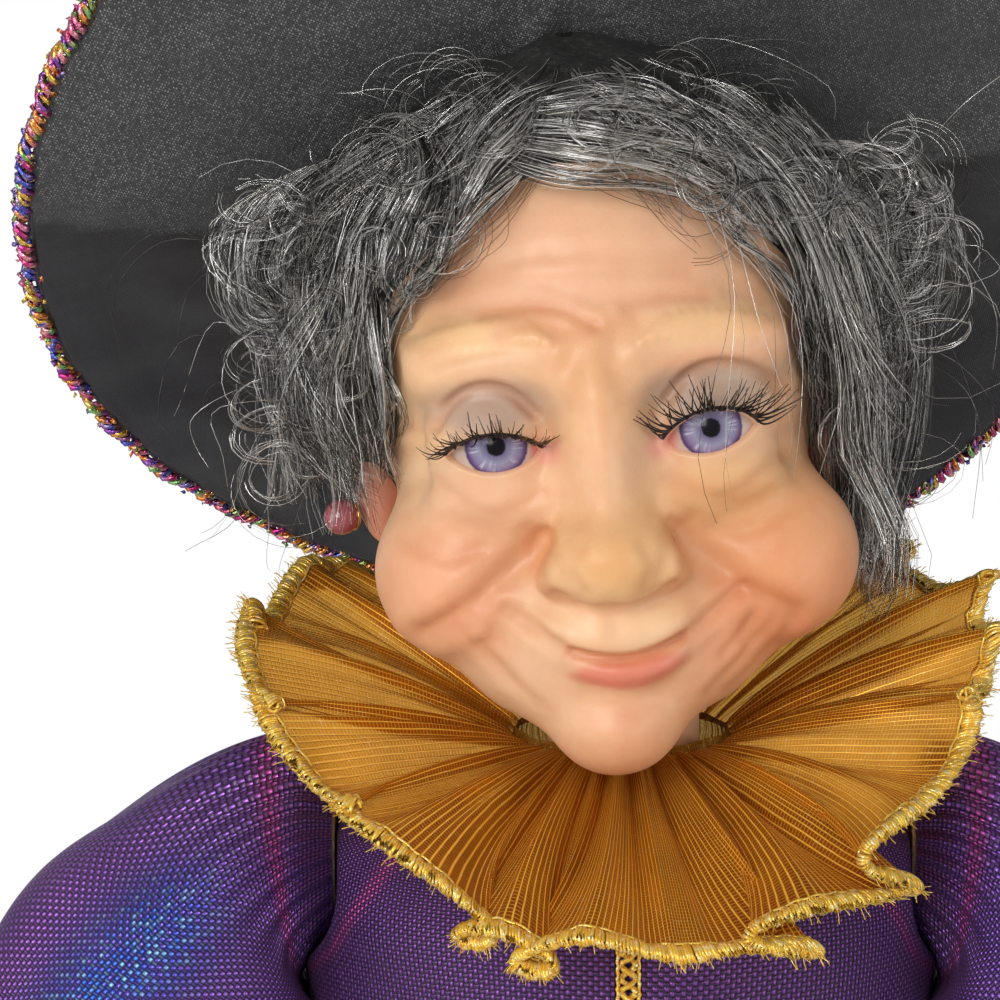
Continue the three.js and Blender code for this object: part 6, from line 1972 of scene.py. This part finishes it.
def make_upper_arm(side, material):
    rows, columns = 60, 48
    share = np.linspace(0.012, 0.86, rows)
    path = bezier([ARM_ROOT, ARM_BEND, ELBOW], share)
    turn = round_turn(columns)[None]
    closing = np.clip(np.sin(math.pi * np.clip(share / 0.88, 0, 1)) * 6, 0.02, 1)
    radius = 9.3 * closing[:, None] ** 0.5
    radius = radius * (1 + 0.02 * ripple(80, 7, share[:, None] * 5, np.cos(turn), np.sin(turn)))
    along = unit(np.gradient(path, axis=0))
    along = unit(mix(np.array([1.0, 0, 0]), along, smooth_step(0, 0.2, share)[:, None]))
    points = tube_points(path, radius, BACK, along).reshape(-1, 3) * [side, 1, 1]
    quads, _ = grid_faces(rows, columns)
    name = f"{side_name(side)}_upper_arm"
    arm = new_piece(name, points, quads[:, ::-side], material)
    stands_for(arm, name, "stuffed_calico", name)


def wood_material():
    made, tree, shader = new_material("plain wood")
    stretched = node(tree, "Mapping", {"Vector": place(tree), "Scale": (0.08, 1.0, 0.3)}).outputs["Vector"]
    grain = noise(tree, 320, 5, 0.65, stretched, 0.6)
    fill(tree, shader, {
        "Base Color": ramp(tree, grain, [(0.3, (0.24, 0.12, 0.045)), (0.6, (0.45, 0.26, 0.11))]),
        "Roughness": ranged(tree, grain, 0.3, 0.7, 0.5, 0.7),
        "Normal": bump(tree, grain, 0.0002),
    })
    return made


def card_material():
    made, tree, shader = new_material("grey card")
    fibre = noise(tree, 900, 4, 0.7)
    fill(tree, shader, {
        "Base Color": ramp(tree, fibre, [(0.3, (0.30, 0.24, 0.16)), (0.7, (0.46, 0.38, 0.27))]),
        "Roughness": 0.9,
        "Normal": bump(tree, fibre, 0.0001),
    })
    return made


def felt_material():
    made, tree, shader = new_material("black felt")
    fibre = noise(tree, 1400, 5, 0.75)
    fill(tree, shader, {
        "Base Color": mixed(tree, fibre, (0.008, 0.008, 0.009), (0.035, 0.034, 0.036)),
        "Roughness": 0.95,
        "Sheen Weight": 0.3,
        "Normal": bump(tree, fibre, 0.0004),
    })
    return made


def steel_material():
    made, tree, shader = new_material("drawn steel")
    mark = noise(tree, 1200, 3)
    fill(tree, shader, {
        "Base Color": mixed(tree, mark, (0.42, 0.42, 0.44), (0.60, 0.60, 0.61)),
        "Metallic": 1.0,
        "Roughness": ranged(tree, mark, 0.3, 0.7, 0.22, 0.38),
    })
    return made


def finish_cad(material, *names):
    """Gives CAD nodes that show as they are a procedural material."""
    for name in names:
        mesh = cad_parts[name].data
        mesh.materials.clear()
        mesh.materials.append(material)


# Camera, light and floor

def make_camera():
    """In front of the face and a little above its eyes, as the photograph was taken."""
    aim = Vector((-17.2, -35.0, 434.85)) * MM
    distance, elevation = 0.452, math.radians(8)
    data = bpy.data.cameras.new("camera")
    data.lens, data.sensor_width = 125, 36
    camera = bpy.data.objects.new("camera", data)
    camera.location = aim + distance * Vector((0, -math.cos(elevation), math.sin(elevation)))
    camera.rotation_euler = (math.radians(90) - elevation, 0, 0)
    scene.collection.objects.link(camera)
    scene.camera = camera


def area_light(name, place_at, aim_at, size, power):
    data = bpy.data.lights.new(name, "AREA")
    data.shape, data.size, data.size_y, data.energy = "RECTANGLE", *size, power
    lamp = bpy.data.objects.new(name, data)
    lamp.location = place_at
    lamp.rotation_euler = (Vector(aim_at) - Vector(place_at)).to_track_quat("-Z", "Y").to_euler()
    scene.collection.objects.link(lamp)


def make_light():
    """A large soft light from the upper left, others from both sides and above, and a white surround."""
    scene.view_settings.view_transform = "Standard"
    face = (0, 0, 0.43)
    area_light("key light", (-0.48, -1.0, 0.8), face, (0.6, 0.6), 7.6)
    area_light("left light", (-0.9, -0.45, 0.35), face, (0.6, 0.6), 2.0)
    area_light("fill light", (0.9, -0.8, 0.5), face, (0.9, 0.9), 3.9)
    area_light("top light", (0.0, 0.5, 1.3), (0, 0, 0.4), (0.8, 0.5), 5)
    world = bpy.data.worlds.new("studio")
    world.use_nodes = True
    scene.world = world
    tree = world.node_tree
    background = tree.nodes["Background"]
    ray = node(tree, "LightPath").outputs
    seen = calc(tree, "MAXIMUM", ray["Is Camera Ray"], ray["Is Transmission Ray"])
    background.inputs["Color"].default_value = (1, 1, 1, 1)
    tree.links.new(ranged(tree, seen, 0, 1, 0.38, 1.0), background.inputs["Strength"])


def make_floor():
    """A pale floor whose edge fades out of sight."""
    rows, turns, reach = 24, 64, 0.9 / MM
    radius, turn = np.meshgrid(np.linspace(0.001, 1, rows) * reach, round_turn(turns), indexing="ij")
    points = np.stack([radius * np.cos(turn), radius * np.sin(turn), np.zeros_like(radius)], -1)
    made, tree, shader = new_material("pale floor")
    grain = noise(tree, 60, 4)
    away = node(tree, "VectorMath", {0: place(tree)}, operation="LENGTH").outputs["Value"]
    fill(tree, shader, {
        "Base Color": mixed(tree, grain, (0.86, 0.86, 0.86), (0.9, 0.9, 0.9)),
        "Roughness": 0.8,
        "Specular IOR Level": 0.2,
        "Alpha": ranged(tree, away, 0.2, 0.8, 1, 0),
    })
    quads, _ = grid_faces(rows, turns)
    new_piece("floor", points, quads, made)


# Putting it together


make_camera()
make_light()
make_floor()

skin_grain = skin_grain_group()
skin = skin_material(skin_grain)
make_head(skin)
eye_paint, lash_fibre, pearl = eye_material(), lash_material(), pearl_material()
for side in (1, -1):
    make_eye(side, eye_paint)
    make_lashes(side, lash_fibre)
    make_earring(side, pearl)

head_map = HeadMap()
make_wig_base(wig_base_material())
wig_fibre = hair_material()
for seed, name in enumerate(HAIR):
    make_hair(name, head_map, wig_fibre, 60 + seed)

weave = weave_group()
satin = satin_material(weave)
make_brim(satin)
make_crown(satin)
make_hat_band(satin)
make_brim_wire(satin)
make_brim_braid(braid_material())

gold = gold_material()
ruff, ruff_cut, ruff_area = make_ruff(organza_material("frill"))
ruff_edge = make_ruff_edge(gold)
# Painted shade: the neck band's organza is darker, as under the chin.
make_ruff_band(organza_material("band", 0.4))

gown = lame_material("purple metallic cloth", weave, 1.7, (0.24, 0.095, 0.58), (0.41, 0.175, 0.68))
fine_gown = lame_material("fine purple metallic cloth", weave, 1.6, (0.17, 0.052, 0.27), (0.27, 0.10, 0.36))
calico = calico_material()
make_bodice(fine_gown)
make_waistband(fine_gown)
make_skirt(gown)
make_front_braid(gold)
make_torso(calico)
for side in (1, -1):
    make_sleeve(side, gown)
    make_cuff(side, fine_gown)
    make_hand(side, skin)
    make_upper_arm(side, calico)

finish_cad(wood_material(), "base_board", "spine_post", "neck_plug")
discs = [f"{side}_{part}_disc" for side in ("left", "right") for part in ("shoulder", "arm")]
finish_cad(card_material(), "skirt_form", "neck_washer", *discs)
finish_cad(felt_material(), "base_felt")
finish_cad(steel_material(), "post_screw", "left_shoulder_pin", "right_shoulder_pin")
finish_cad(calico, "left_forearm", "right_forearm")
